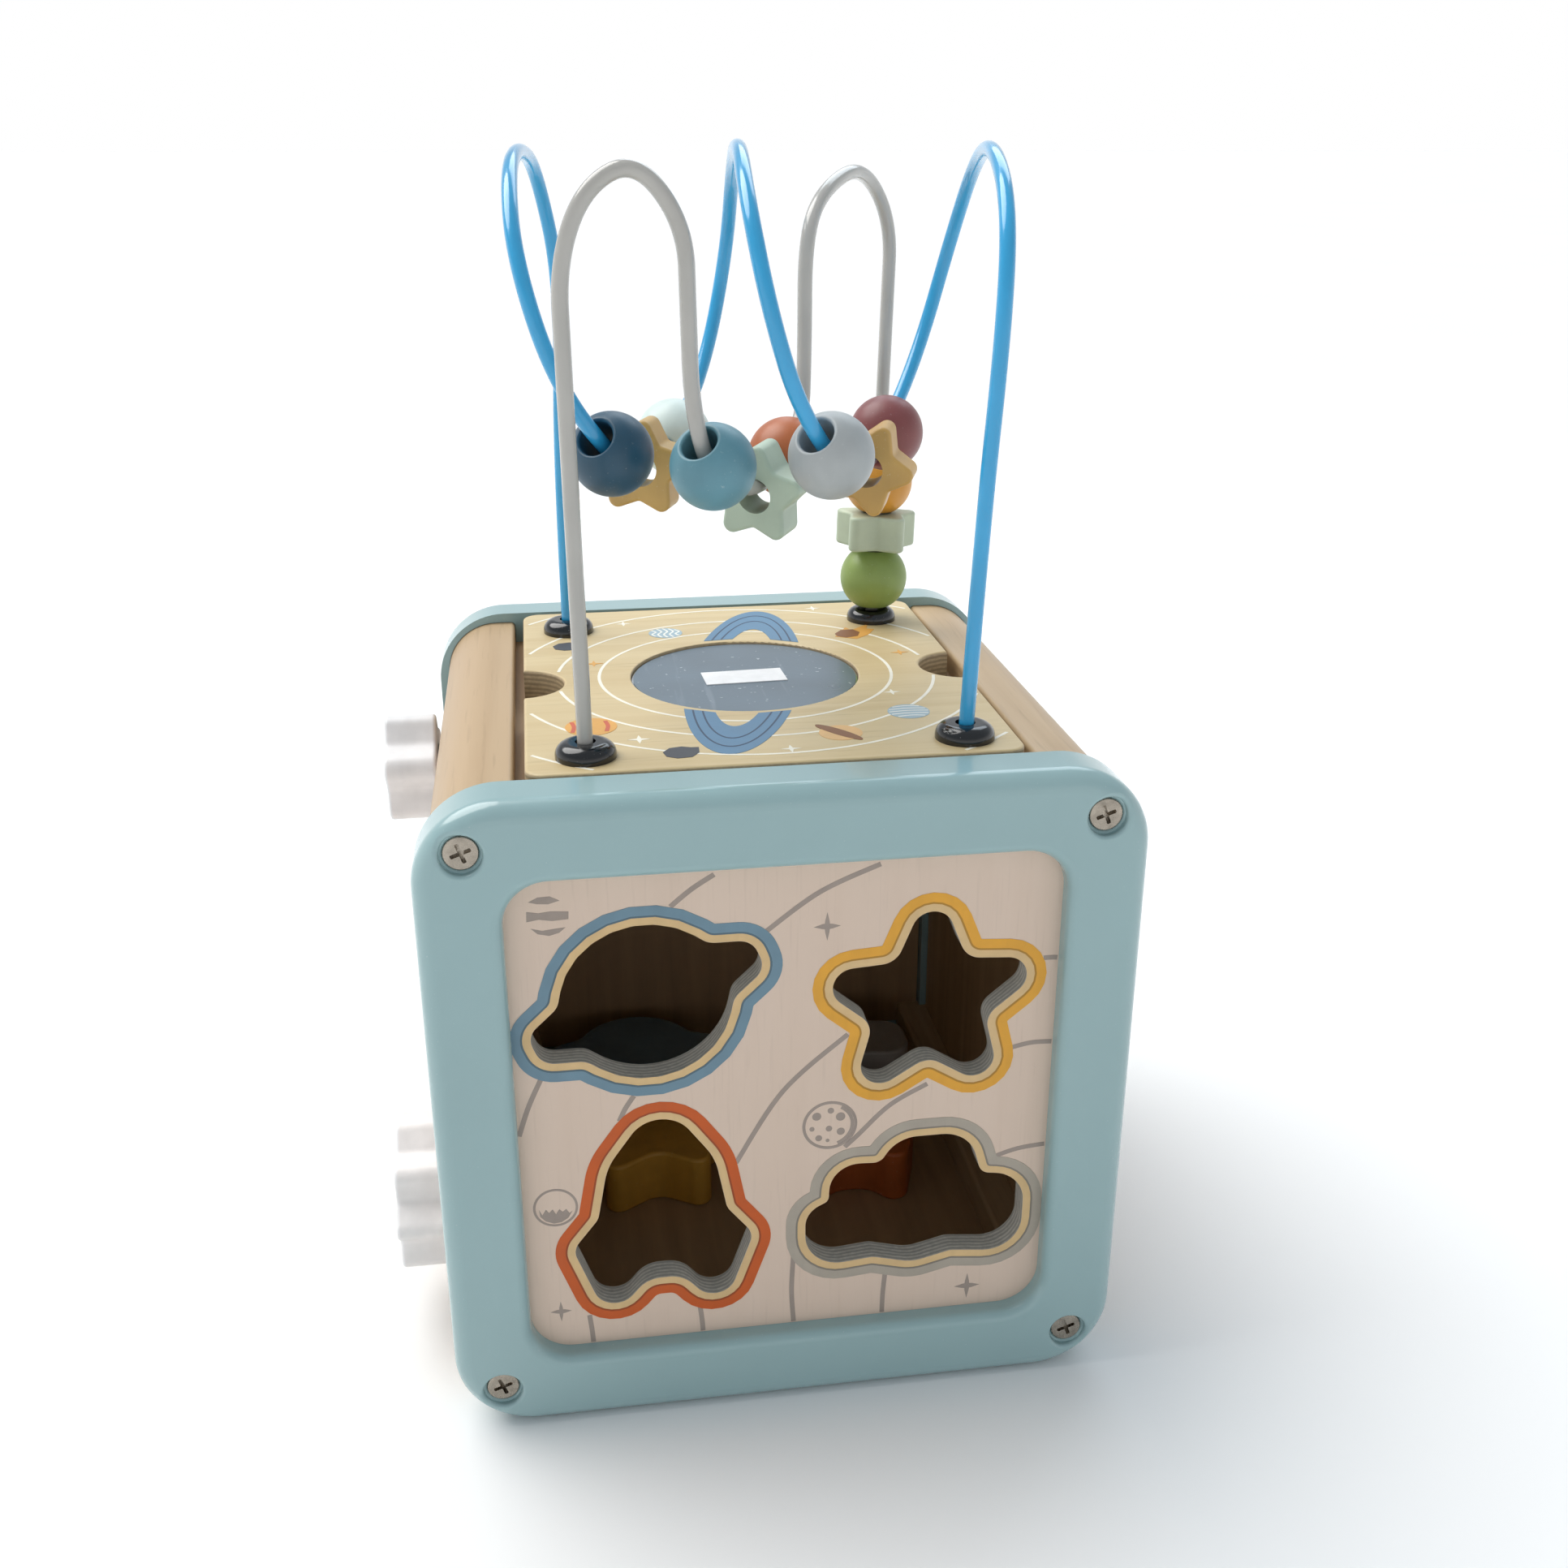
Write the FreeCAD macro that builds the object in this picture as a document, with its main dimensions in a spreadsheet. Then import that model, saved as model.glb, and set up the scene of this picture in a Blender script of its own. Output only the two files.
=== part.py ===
"""Baby activity cube: four wooden posts between two plastic frames, a shape sorter in front,
a lift-off lid with a mirror and two bead wires on top, and two spinners on the left side."""
import FreeCAD, Part
import math
import os
import Sketcher
from FreeCAD import Placement, Rotation, Vector

doc = FreeCAD.newDocument("activity_cube")
sheet = doc.addObject("Spreadsheet::Sheet", "dims")

# Driving dimensions, in millimetres unless the name says otherwise.
DIMS = {
    # the cube and its two frames
    "cube_size": 160,
    "cube_shift": 7,            # the spinners stand out on the left, so the cube sits right of the origin
    "frame_depth": 14,
    "frame_corner": 19,
    "frame_round": 4.4,
    "window_size": 123.4,
    "window_corner": 10,
    "lip_round": 2.4,
    "recess_depth": 5,
    "panel_size": 129.4,
    "panel_play": 0.3,
    "panel_thick": 6,
    # screws
    "screw_pitch": 138.4,
    "recess_dia": 9,
    "recess_floor": 1.8,
    "recess_round": 0.9,
    "head_dia": 7.6,
    "head_cone": 2.4,
    "head_play": 0.2,
    "head_rim": 0.4,
    "shank_dia": 3.5,
    "shank_hole": 4.2,
    "pilot_dia": 3.6,
    "screw_long": 34,
    "cross_long": 4.6,
    "cross_wide": 0.9,
    "cross_deep": 1.5,
    # corner posts
    "post_size": 19.3,
    "post_inset": 2.7,
    "post_corner": 14,
    "post_edge": 1.2,
    "socket_deep": 3,
    "socket_play": 0.15,
    "groove_deep": 4,
    "groove_play": 0.1,
    "side_inset": 7,
    # lid, its rails and the mirror
    "lid_wide": 111,
    "lid_long": 128,
    "lid_thick": 8.5,
    "lid_corner": 4.5,
    "lid_edge": 0.8,
    "notch_dia": 22,
    "notch_out": 1,
    "rail_wide": 6.5,
    "rail_high": 10,
    "mirror_dia": 57.2,
    "mirror_thick": 2,
    "mirror_pocket": 3,
    "mirror_seat_dia": 57.6,
    "mirror_seat_round": 0.4,
    "film_thick": 0.3,
    "label_thick": 0.2,
    "label_long": 20.6,
    "label_wide": 10,
    # bead wires and what is on them
    "wire_dia": 3.5,
    "cap_dia": 13.6,
    "cap_high": 3.6,
    "stem_dia": 7.8,
    "stem_hole": 8,
    "cap_bore": 4.6,
    "nut_across": 7,
    "nut_thick": 3.2,
    "nut_bore": 4.3,
    "bead_dia": 18.5,
    "bead_bore": 8,
    "bore_round": 0.6,
    "star_thick": 9.5,
    "star_tip": 13.4,
    "star_valley": 7.4,
    "star_tip_round": 2.2,
    "star_valley_round": 1.6,
    "star_edge": 0.9,
    # left-hand spinners
    "spinner_thick": 14,
    "axle_dia": 6,
    "axle_hole": 6.1,
    "spinner_bore": 6.16,
    "axle_head": 11,
    "head_sink": 11.6,
    "axle_head_thick": 2.4,
    "axle_head_sunk": 0.4,
    "axle_head_round": 0.8,
    "retainer_long": 2.5,
    "tail_long": 3,
    "spacer_dia": 12,
    "spinner_gap": 0.3,
    # shape sorter
    "block_thick": 15,
    "block_play": 1.2,
    "block_edge": 1,
}

# Corner lists below are (x, y, corner radius) round a closed outline.
# The four sorter holes, each about its own centre on the panel.
PLANET = [(0, 35.2, 19.1), (17.9, 7.5, 5), (26.9, 3.9, 4.5), (26.9, -3.9, 4.5), (17.9, -7.5, 5),
          (0, -35.2, 19.1), (-17.9, -7.5, 5), (-26.9, -3.9, 4.5), (-26.9, 3.9, 4.5), (-17.9, 7.5, 5)]
PLANET_TILT = 21.7
ROCKET_HALF = [(12.4, -12.5, 16), (15, -26.5, 5), (21.2, -34.5, 4.5), (13.6, -55.8, 5.2), (4.2, -44.6, 7)]
ROCKET_NOSE = [(0, 5, 8)]
CLOUD = [(25.5, -11.4, 8.6), (42.8, -11.4, 8.6), (46.2, -23.2, 3), (57, -24.6, 8.5), (57, -46.8, 8.5),
         (39.5, -44.8, 4), (30, -47.2, 10), (20.3, -44.6, 4), (3.8, -46.2, 8.5), (3.8, -30, 6),
         (9.3, -27.4, 2), (9.8, -17.2, 7), (21.6, -17.8, 3)]
# A star or lobed wheel is (points, tip reach, valley reach, tip radius, valley radius).
STAR_HOLE = (5, 31.4, 13.8, 4.8, 5)
STAR_WHEEL = (5, 17.6, 10.6, 3.8, 3.4)
COG_WHEEL = (8, 21.6, 15.4, 3, 2.2)
PLANET_AT = (-31.9, 29.4)
STAR_AT = (32.1, 23.7)
ROCKET_AT = (-29.8, 0)
CLOUD_AT = (0, 0)

# The left-hand spinners' axles, (y, z) above the surface the cube stands on.
SPINNERS = {"star_spinner": (38, 125.5), "cog_spinner": (-28, 34)}

# Where the wires turn: feet under the lid first and last, (x, y, z) about the cube's own axis.
BLUE_TURNS = [(-43, 45, 147), (-43.5, 46, 205), (-40.5, 49, 252), (-45.5, 44, 280), (-49.5, 18, 284.5),
              (-52, -14, 279.5), (-51.5, -32, 262.5), (-44.5, -37, 238), (-32.3, -36, 220.8),
              (-26, -10, 215), (-14.5, 17, 217.5), (-5, 33, 233.5), (1.5, 41, 259.5), (1.5, 25, 281.5),
              (-2.5, -18, 286), (-4.5, -48, 274), (-1, -55, 253), (5, -55, 234.5), (15.5, -49, 220),
              (26.5, -15, 213.2), (38, 15, 217), (50, 31, 235), (59, 36, 263.5), (60, 18, 282.5),
              (54, -18, 285), (50, -46, 274), (48, -54, 251.5), (44.5, -56, 206.5), (43, -54, 147)]
GREY_TURNS = [(-42, -54, 147), (-43, -53, 263), (-37.5, -53, 277), (-27, -52, 282.5), (-17.5, -51, 270),
              (-17, -51.5, 234), (-13, -50, 219.5), (1, -25.5, 210.8), (13.5, -6, 222), (15, 0, 240),
              (15, 0, 265), (21, 11, 275), (34.5, 32, 280.5), (45, 45, 266.5), (41.5, 45, 147)]


def set_cells():
    """One row per driving dimension: its value, under its own alias."""
    for row, (alias, value) in enumerate(DIMS.items(), 1):
        sheet.set("A%d" % row, str(value))
        sheet.setAlias("A%d" % row, alias)
    doc.recompute()


def dim(alias):
    return float(sheet.get(alias))


def bind(obj, **sizes):
    """Bind each named property to an expression in the sheet's aliases, written as dims.alias."""
    for prop, expression in sizes.items():
        obj.setExpression(prop.replace("__", "."), expression)
    return obj


# ---------------------------------------------------------------- outlines

def offset_corners(corners, inset):
    """The same outline moved inward by inset; convex corners tighten and hollow ones open."""
    points = [Vector(x, y, 0) for x, y, r in corners]
    area = sum(a.x * b.y - b.x * a.y for a, b in zip(points, points[1:] + points[:1]))
    side = 1 if area > 0 else -1
    moved = []
    for i, (x, y, r) in enumerate(corners):
        before = (points[i] - points[i - 1]).normalize()
        after = (points[(i + 1) % len(points)] - points[i]).normalize()
        cross = before.x * after.y - before.y * after.x
        reach = side * inset * math.tan(0.5 * math.atan2(cross, before.dot(after)))
        normal = Vector(-before.y, before.x, 0) * side
        corner = points[i] + normal * inset - before * reach
        turn = 1 if cross * side > 0 else -1
        moved.append((corner.x, corner.y, max(r - turn * inset, 0.3)))
    return moved


def turned(corners, degrees, shift=(0, 0)):
    c, s = math.cos(math.radians(degrees)), math.sin(math.radians(degrees))
    return [(x * c - y * s + shift[0], x * s + y * c + shift[1], r) for x, y, r in corners]


def star_corners(points, tip, valley, tip_round, valley_round):
    """A star or a lobed wheel with its first tip straight up."""
    corners = []
    for i in range(2 * points):
        reach, round_off = (tip, tip_round) if i % 2 == 0 else (valley, valley_round)
        angle = math.pi / 2 - i * math.pi / points
        corners.append((reach * math.cos(angle), reach * math.sin(angle), round_off))
    return corners


def square_corners(wide, high, r):
    return [(-wide / 2, -high / 2, r), (wide / 2, -high / 2, r), (wide / 2, high / 2, r), (-wide / 2, high / 2, r)]


def rocket_corners():
    return ROCKET_NOSE + ROCKET_HALF + [(-x, y, r) for x, y, r in reversed(ROCKET_HALF)]


def hole_corners():
    """The four sorter holes in the panel's plane, about the panel's centre."""
    star = star_corners(*STAR_HOLE)
    return {
        "planet": turned(PLANET, PLANET_TILT, PLANET_AT),
        "star": turned(star, 0, STAR_AT),
        "rocket": turned(rocket_corners(), 0, ROCKET_AT),
        "cloud": turned(CLOUD, 0, CLOUD_AT),
    }


# ---------------------------------------------------------------- PartDesign helpers

def new_body(label, shift=None, turn=None):
    body = doc.addObject("PartDesign::Body", label)
    body.Label = label
    at = shift if shift is not None else Vector(dim("cube_shift"), 0, dim("cube_size") / 2)
    body.Placement = Placement(at, turn if turn is not None else Rotation())
    return body


def new_sketch(body, name, role, offset):
    """A sketch on one of the body's origin planes, moved along its normal by an expression.
    XY looks along +Z, YZ along +X, and XZ along -Y."""
    sketch = body.newObject("Sketcher::SketchObject", name)
    plane = [f for f in body.Origin.OriginFeatures if f.Role == role][0]
    sketch.AttachmentSupport = [(plane, "")]
    sketch.MapMode = "FlatFace"
    sketch.setExpression(".AttachmentOffset.Base.z", offset)
    return sketch


def draw_corners(sketch, corners):
    """Straight runs joined by tangent arcs, fixed where they are drawn."""
    count = len(corners)
    ends = []
    for i, (x, y, r) in enumerate(corners):
        here = Vector(x, y, 0)
        back = (Vector(*corners[i - 1][:2], 0) - here).normalize()
        ahead = (Vector(*corners[(i + 1) % count][:2], 0) - here).normalize()
        half = 0.5 * back.getAngle(ahead)
        cut = r / math.tan(half)
        centre = here + (back + ahead).normalize() * (r / math.sin(half))
        middle = centre + (here - centre).normalize() * r
        ends.append((here + back * cut, middle, here + ahead * cut))
    for i, (start, middle, finish) in enumerate(ends):
        sketch.addGeometry(Part.Arc(start, middle, finish), False)
        following = ends[(i + 1) % count][0]
        if finish.distanceToPoint(following) > 1e-3:
            sketch.addGeometry(Part.LineSegment(finish, following), False)


def draw_circle(sketch, x, y, diameter):
    """A circle whose diameter follows the sheet."""
    index = sketch.addGeometry(Part.Circle(Vector(x, y, 0), Vector(0, 0, 1), dim(diameter) / 2), False)
    name = "%s_%d" % (diameter, index)
    constraint = sketch.addConstraint(Sketcher.Constraint("Diameter", index, dim(diameter)))
    sketch.renameConstraint(constraint, name)
    sketch.setExpression("Constraints." + name, "dims." + diameter)


def pad(body, sketch, length):
    """Add material along the sketch's normal."""
    feature = body.newObject("PartDesign::Pad", sketch.Name + "_pad")
    feature.Profile = sketch
    feature.setExpression("Length", length)
    sketch.Visibility = False
    doc.recompute()
    return feature


def pocket(body, sketch, length, along_normal):
    """Take material away, with a check that something was cut."""
    before = body.Shape.Volume
    feature = body.newObject("PartDesign::Pocket", sketch.Name + "_pocket")
    feature.Profile = sketch
    feature.setExpression("Length", length)
    feature.Reversed = along_normal
    doc.recompute()
    if body.Shape.Volume > before - 0.01:
        raise RuntimeError("pocket %s cuts nothing" % feature.Name)
    return feature


def round_edges(body, radius, picked, kind="Fillet"):
    """Fillet or chamfer the edges that picked(edge) accepts."""
    base = body.Tip
    names = ["Edge%d" % (i + 1) for i, edge in enumerate(base.Shape.Edges) if picked(edge)]
    if not names:
        raise RuntimeError("no edge to round on " + body.Label)
    feature = body.newObject("PartDesign::" + kind, body.Label + "_" + kind.lower())
    feature.Base = (base, names)
    feature.setExpression("Radius" if kind == "Fillet" else "Size", radius)
    doc.recompute()
    if not feature.isValid() or feature.Shape.isNull():
        raise RuntimeError("rounding failed on " + body.Label)
    return feature


def on_plane(edge, axis, value):
    """Whether the whole edge lies at value along axis 'x', 'y' or 'z'."""
    box = edge.BoundBox
    low, high = getattr(box, axis.upper() + "Min"), getattr(box, axis.upper() + "Max")
    return abs(low - value) < 1e-3 and abs(high - value) < 1e-3


def reach(edge):
    box = edge.BoundBox
    return max(abs(box.XMin), abs(box.XMax), abs(box.ZMin), abs(box.ZMax))


def is_circle(edge, radius):
    curve = edge.Curve
    return isinstance(curve, Part.Circle) and abs(curve.Radius - radius) < 1e-3 and edge.isClosed()


# ---------------------------------------------------------------- frames, panels and posts

def screw_places():
    half = dim("screw_pitch") / 2
    return [(sx * half, sz * half) for sx in (-1, 1) for sz in (-1, 1)]


def make_frame(label, turn):
    """A moulded square frame: window, seat for its panel, post sockets and screw recesses."""
    body = new_body(label, turn=turn)
    front, rear = dim("cube_size") / 2, "dims.cube_size / 2 - dims.frame_depth"
    outline = new_sketch(body, label + "_outline", "XZ_Plane", rear)
    draw_corners(outline, square_corners(dim("cube_size"), dim("cube_size"), dim("frame_corner")))
    draw_corners(outline, square_corners(dim("window_size"), dim("window_size"), dim("window_corner")))
    pad(body, outline, "dims.frame_depth")
    round_edges(body, "dims.frame_round", lambda e: on_plane(e, "y", -front) and reach(e) > front - 1)
    round_edges(body, "dims.lip_round", lambda e: on_plane(e, "y", -front) and reach(e) < front - 1)
    seat = new_sketch(body, label + "_seat", "XZ_Plane", rear)
    side = dim("panel_size") + 2 * dim("panel_play")
    draw_corners(seat, square_corners(side, side, 3))
    pocket(body, seat, "dims.frame_depth - dims.recess_depth", True)
    sockets = new_sketch(body, label + "_sockets", "XZ_Plane", rear)
    for sx in (-1, 1):
        for sz in (-1, 1):
            draw_corners(sockets, offset_corners(post_outline(sx, sz), -dim("socket_play")))
    pocket(body, sockets, "dims.socket_deep", True)
    recesses = new_sketch(body, label + "_recesses", "XZ_Plane", "dims.cube_size / 2")
    shanks = new_sketch(body, label + "_shanks", "XZ_Plane", "dims.cube_size / 2")
    for x, z in screw_places():
        draw_circle(recesses, x, z, "recess_dia")
        draw_circle(shanks, x, z, "shank_hole")
    pocket(body, recesses, "dims.recess_floor", False)
    pocket(body, shanks, "dims.frame_depth", False)
    floor = -front + dim("recess_floor")
    round_edges(body, "(dims.head_dia + dims.head_play - dims.shank_hole) / 2 + dims.head_rim",
                lambda e: on_plane(e, "y", floor) and is_circle(e, dim("shank_hole") / 2), "Chamfer")
    round_edges(body, "dims.recess_round", lambda e: e.BoundBox.YMax < floor - 1 and round_a_screw(e))
    return body


def round_a_screw(edge):
    """Whether an edge runs round one of the recesses, a recess's radius from its screw's axis."""
    radius = dim("recess_dia") / 2
    for x, z in screw_places():
        gaps = [math.hypot(point.x - x, point.z - z) - radius for point in edge.discretize(5)]
        if max(abs(gap) for gap in gaps) < 1e-3:
            return True
    return False


def post_outline(sx, sz):
    """One post's section with its outer corner well rounded; sx and sz say which corner of the cube."""
    outer = dim("cube_size") / 2 - dim("post_inset")
    inner = outer - dim("post_size")
    edge = dim("post_edge")
    corners = [(outer, outer, dim("post_corner")), (outer, inner, edge), (inner, inner, edge), (inner, outer, edge)]
    return [(sx * x, sz * z, r) for x, z, r in corners]


def make_post(label, sx, sz):
    """A corner post, seated in both frames, grooved for the panels and drilled for its two screws."""
    body = new_body(label)
    half = "(dims.cube_size / 2 - dims.frame_depth + dims.socket_deep)"
    section = new_sketch(body, label + "_section", "XZ_Plane", "-" + half)
    draw_corners(section, post_outline(sx, sz))
    pad(body, section, "2 * " + half)
    inner = dim("cube_size") / 2 - dim("post_inset") - dim("post_size")
    outer_face = dim("cube_size") / 2 - dim("side_inset")
    play, deep = dim("groove_play"), dim("groove_deep")
    low, high = outer_face - dim("panel_thick") - play, outer_face + play
    near, far = inner - 1, inner + deep
    grooves = new_sketch(body, label + "_grooves", "XZ_Plane", "-(dims.cube_size / 2 - dims.frame_depth)")
    draw_corners(grooves, [(sx * x, sz * z, 0.2) for x, z in
                           ((low, near), (high, near), (high, far), (low, far))])
    if sz < 0:
        draw_corners(grooves, [(sx * z, sz * x, 0.2) for x, z in
                               ((low, near), (high, near), (high, far), (low, far))])
    pocket(body, grooves, "2 * (dims.cube_size / 2 - dims.frame_depth)", True)
    pitch = dim("screw_pitch") / 2
    for end, along in ((half, False), ("-" + half, True)):
        pilots = new_sketch(body, label + "_pilot_%d" % along, "XZ_Plane", end)
        draw_circle(pilots, sx * pitch, sz * pitch, "pilot_dia")
        pocket(body, pilots, "dims.screw_long + dims.recess_floor - dims.frame_depth + dims.socket_deep + 1", along)
    return body


def make_sorter_panel():
    """The front panel with its four cut-outs."""
    body = new_body("sorter_panel")
    rear = "dims.cube_size / 2 - dims.recess_depth - dims.panel_thick"
    outline = new_sketch(body, "sorter_outline", "XZ_Plane", rear)
    draw_corners(outline, square_corners(dim("panel_size"), dim("panel_size"), 2.8))
    for corners in hole_corners().values():
        draw_corners(outline, corners)
    pad(body, outline, "dims.panel_thick")
    return body


def make_back_panel():
    body = new_body("back_panel", turn=Rotation(Vector(0, 0, 1), 180))
    rear = "dims.cube_size / 2 - dims.recess_depth - dims.panel_thick"
    outline = new_sketch(body, "back_outline", "XZ_Plane", rear)
    draw_corners(outline, square_corners(dim("panel_size"), dim("panel_size"), 2.8))
    pad(body, outline, "dims.panel_thick")
    return body


def make_side_panel(label, side, role):
    """A panel held in the posts' grooves: side is -1 left or +1 right on YZ, and -1 bottom on XY."""
    body = new_body(label)
    start = "dims.cube_size / 2 - dims.side_inset"
    start = "-(%s)" % start if side < 0 else start + " - dims.panel_thick"
    outline = new_sketch(body, label + "_outline", role, start)
    long = dim("cube_size") - 2 * dim("frame_depth") - 2 * dim("panel_play")
    inner = dim("cube_size") / 2 - dim("post_inset") - dim("post_size")
    wide = 2 * (inner + dim("groove_deep") - dim("panel_play"))
    corners = square_corners(long, wide, 0.6) if role == "YZ_Plane" else square_corners(wide, long, 0.6)
    draw_corners(outline, corners)
    if label == "left_panel":
        for y, z in SPINNERS.values():
            draw_circle(outline, y, z - dim("cube_size") / 2, "axle_hole")
    pad(body, outline, "dims.panel_thick")
    return body


def make_screws(label, turn):
    """Four countersunk wood screws with a cross recess, in one frame."""
    body = new_body(label, turn=turn)
    top = "dims.cube_size / 2 - dims.recess_floor"
    heads = new_sketch(body, label + "_heads", "XZ_Plane", top + " - dims.head_cone")
    shanks = new_sketch(body, label + "_shanks", "XZ_Plane", top + " - dims.screw_long")
    for x, z in screw_places():
        draw_circle(heads, x, z, "head_dia")
        draw_circle(shanks, x, z, "shank_dia")
    pad(body, shanks, "dims.screw_long - dims.head_cone / 2")
    pad(body, heads, "dims.head_cone")
    seat = -(dim("cube_size") / 2 - dim("recess_floor") - dim("head_cone"))
    face = -(dim("cube_size") / 2 - dim("recess_floor"))
    round_edges(body, "dims.head_cone - dims.head_rim",
                lambda e: on_plane(e, "y", seat) and is_circle(e, dim("head_dia") / 2), "Chamfer")
    cross = new_sketch(body, label + "_cross", "XZ_Plane", top)
    long, wide = dim("cross_long") / 2, dim("cross_wide") / 2
    arm = [(wide, wide, 0.12), (wide, long, 0.3), (-wide, long, 0.3), (-wide, wide, 0.12)]
    for x, z in screw_places():
        corners = []
        for quarter in range(4):
            corners += turned(arm, 90 * quarter)[:3]
        draw_corners(cross, turned(corners, 20, (x, z)))
    pocket(body, cross, "dims.cross_deep", False)
    round_edges(body, "dims.head_rim * 0.7", lambda e: on_plane(e, "y", face) and is_circle(e, dim("head_dia") / 2))
    return body


# ---------------------------------------------------------------- lid, mirror and wires

def wire_feet():
    """Where the four wire ends pass the middle of the lid, (x, y) about the cube's axis."""
    ends = {"front_left": GREY_TURNS[:2], "back_left": BLUE_TURNS[:2],
            "back_right": GREY_TURNS[:-3:-1], "front_right": BLUE_TURNS[:-3:-1]}
    level = dim("cube_size") - dim("lid_thick") / 2
    places = {}
    for place, (foot, above) in ends.items():
        part_way = (level - foot[2]) / (above[2] - foot[2])
        places[place] = tuple(low + (high - low) * part_way for low, high in zip(foot[:2], above[:2]))
    return places


def lid_body(label):
    """Lid pieces are drawn from the surface the cube stands on, so z runs from 0 at the bottom."""
    return new_body(label, shift=Vector(dim("cube_shift"), 0, 0))


def make_lid():
    body = lid_body("lid_panel")
    outline = new_sketch(body, "lid_outline", "XY_Plane", "dims.cube_size - dims.lid_thick")
    draw_corners(outline, square_corners(dim("lid_wide"), dim("lid_long"), dim("lid_corner")))
    pad(body, outline, "dims.lid_thick")
    notches = new_sketch(body, "lid_notches", "XY_Plane", "dims.cube_size")
    for side in (-1, 1):
        draw_circle(notches, side * (dim("lid_wide") / 2 + dim("notch_out")), 0, "notch_dia")
    pocket(body, notches, "dims.lid_thick", False)
    mirror = new_sketch(body, "lid_mirror_seat", "XY_Plane", "dims.cube_size")
    draw_circle(mirror, 0, 0, "mirror_seat_dia")
    pocket(body, mirror, "dims.mirror_pocket", False)
    holes = new_sketch(body, "lid_wire_holes", "XY_Plane", "dims.cube_size")
    for x, y in wire_feet().values():
        draw_circle(holes, x, y, "stem_hole")
    pocket(body, holes, "dims.lid_thick", False)
    top = dim("cube_size")
    seat = dim("mirror_seat_dia") / 2
    round_edges(body, "dims.lid_edge",
                lambda e: on_plane(e, "z", top) and not is_circle(e, seat) and not is_circle(e, dim("stem_hole") / 2))
    round_edges(body, "dims.mirror_seat_round", lambda e: on_plane(e, "z", top) and is_circle(e, seat))
    return body


def make_rail(label, side):
    """A wooden rail under each long edge of the lid, glued inside the posts' faces."""
    rail = doc.addObject("Part::Box", label)
    rail.Label = label
    bind(rail, Length="dims.rail_wide", Width="dims.cube_size - 2 * dims.frame_depth", Height="dims.rail_high")
    inner = "(dims.cube_size / 2 - dims.post_inset - dims.post_size)"
    left = "dims.cube_shift - " + inner if side < 0 else "dims.cube_shift + " + inner + " - dims.rail_wide"
    rail.setExpression("Placement.Base.x", left)
    rail.setExpression("Placement.Base.y", "-(dims.cube_size / 2 - dims.frame_depth)")
    rail.setExpression("Placement.Base.z", "dims.cube_size - dims.lid_thick - dims.rail_high")
    return rail


def make_disc(label, diameter, thick, bottom):
    """A plain round plate on the cube's axis."""
    disc = doc.addObject("Part::Cylinder", label)
    disc.Label = label
    bind(disc, Radius=diameter + " / 2", Height=thick)
    disc.setExpression("Placement.Base.x", "dims.cube_shift")
    disc.setExpression("Placement.Base.z", bottom)
    return disc


def make_mirror():
    seat = "dims.cube_size - dims.mirror_pocket"
    mirror = make_disc("mirror_disc", "dims.mirror_dia", "dims.mirror_thick", seat)
    film = make_disc("mirror_film", "(dims.mirror_dia - 0.8)", "dims.film_thick", seat + " + dims.mirror_thick")
    label = doc.addObject("Part::Box", "film_label")
    label.Label = "film_label"
    bind(label, Length="dims.label_long", Width="dims.label_wide", Height="dims.label_thick")
    label.Placement = Placement(Vector(), Rotation(Vector(0, 0, 1), 3))
    label.setExpression("Placement.Base.x", "dims.cube_shift - dims.label_long / 2")
    label.setExpression("Placement.Base.y", "-dims.label_wide / 2 - 1")
    label.setExpression("Placement.Base.z", seat + " + dims.mirror_thick + dims.film_thick")
    return [mirror, film, label]


def make_grommet(place, at):
    """A domed plastic cap whose stem lines the hole that a wire goes through."""
    label = "grommet_" + place
    body = new_body(label, shift=Vector(dim("cube_shift") + at[0], at[1], 0))
    cap = new_sketch(body, label + "_cap", "XY_Plane", "dims.cube_size")
    draw_circle(cap, 0, 0, "cap_dia")
    pad(body, cap, "dims.cap_high")
    top = dim("cube_size") + dim("cap_high")
    round_edges(body, "dims.cap_high * 0.8", lambda e: on_plane(e, "z", top))
    stem = new_sketch(body, label + "_stem", "XY_Plane", "dims.cube_size - dims.lid_thick")
    draw_circle(stem, 0, 0, "stem_dia")
    pad(body, stem, "dims.lid_thick + 0.5")
    bore = new_sketch(body, label + "_bore", "XY_Plane", "dims.cube_size - dims.lid_thick")
    draw_circle(bore, 0, 0, "cap_bore")
    pocket(body, bore, "dims.lid_thick + dims.cap_high", True)
    return body


def make_nuts():
    """The four nuts that hold the wire ends under the lid, as one group."""
    body = lid_body("wire_nuts")
    outline = new_sketch(body, "nut_outline", "XY_Plane", "dims.cube_size - dims.lid_thick - dims.nut_thick")
    reach_out = dim("nut_across") / math.sqrt(3)
    hexagon = [(reach_out * math.cos(math.radians(60 * i)), reach_out * math.sin(math.radians(60 * i)), 0.3)
               for i in range(6)]
    for at in wire_feet().values():
        draw_corners(outline, turned(hexagon, 0, at))
        draw_circle(outline, at[0], at[1], "nut_bore")
    pad(body, outline, "dims.nut_thick")
    return body


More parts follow.
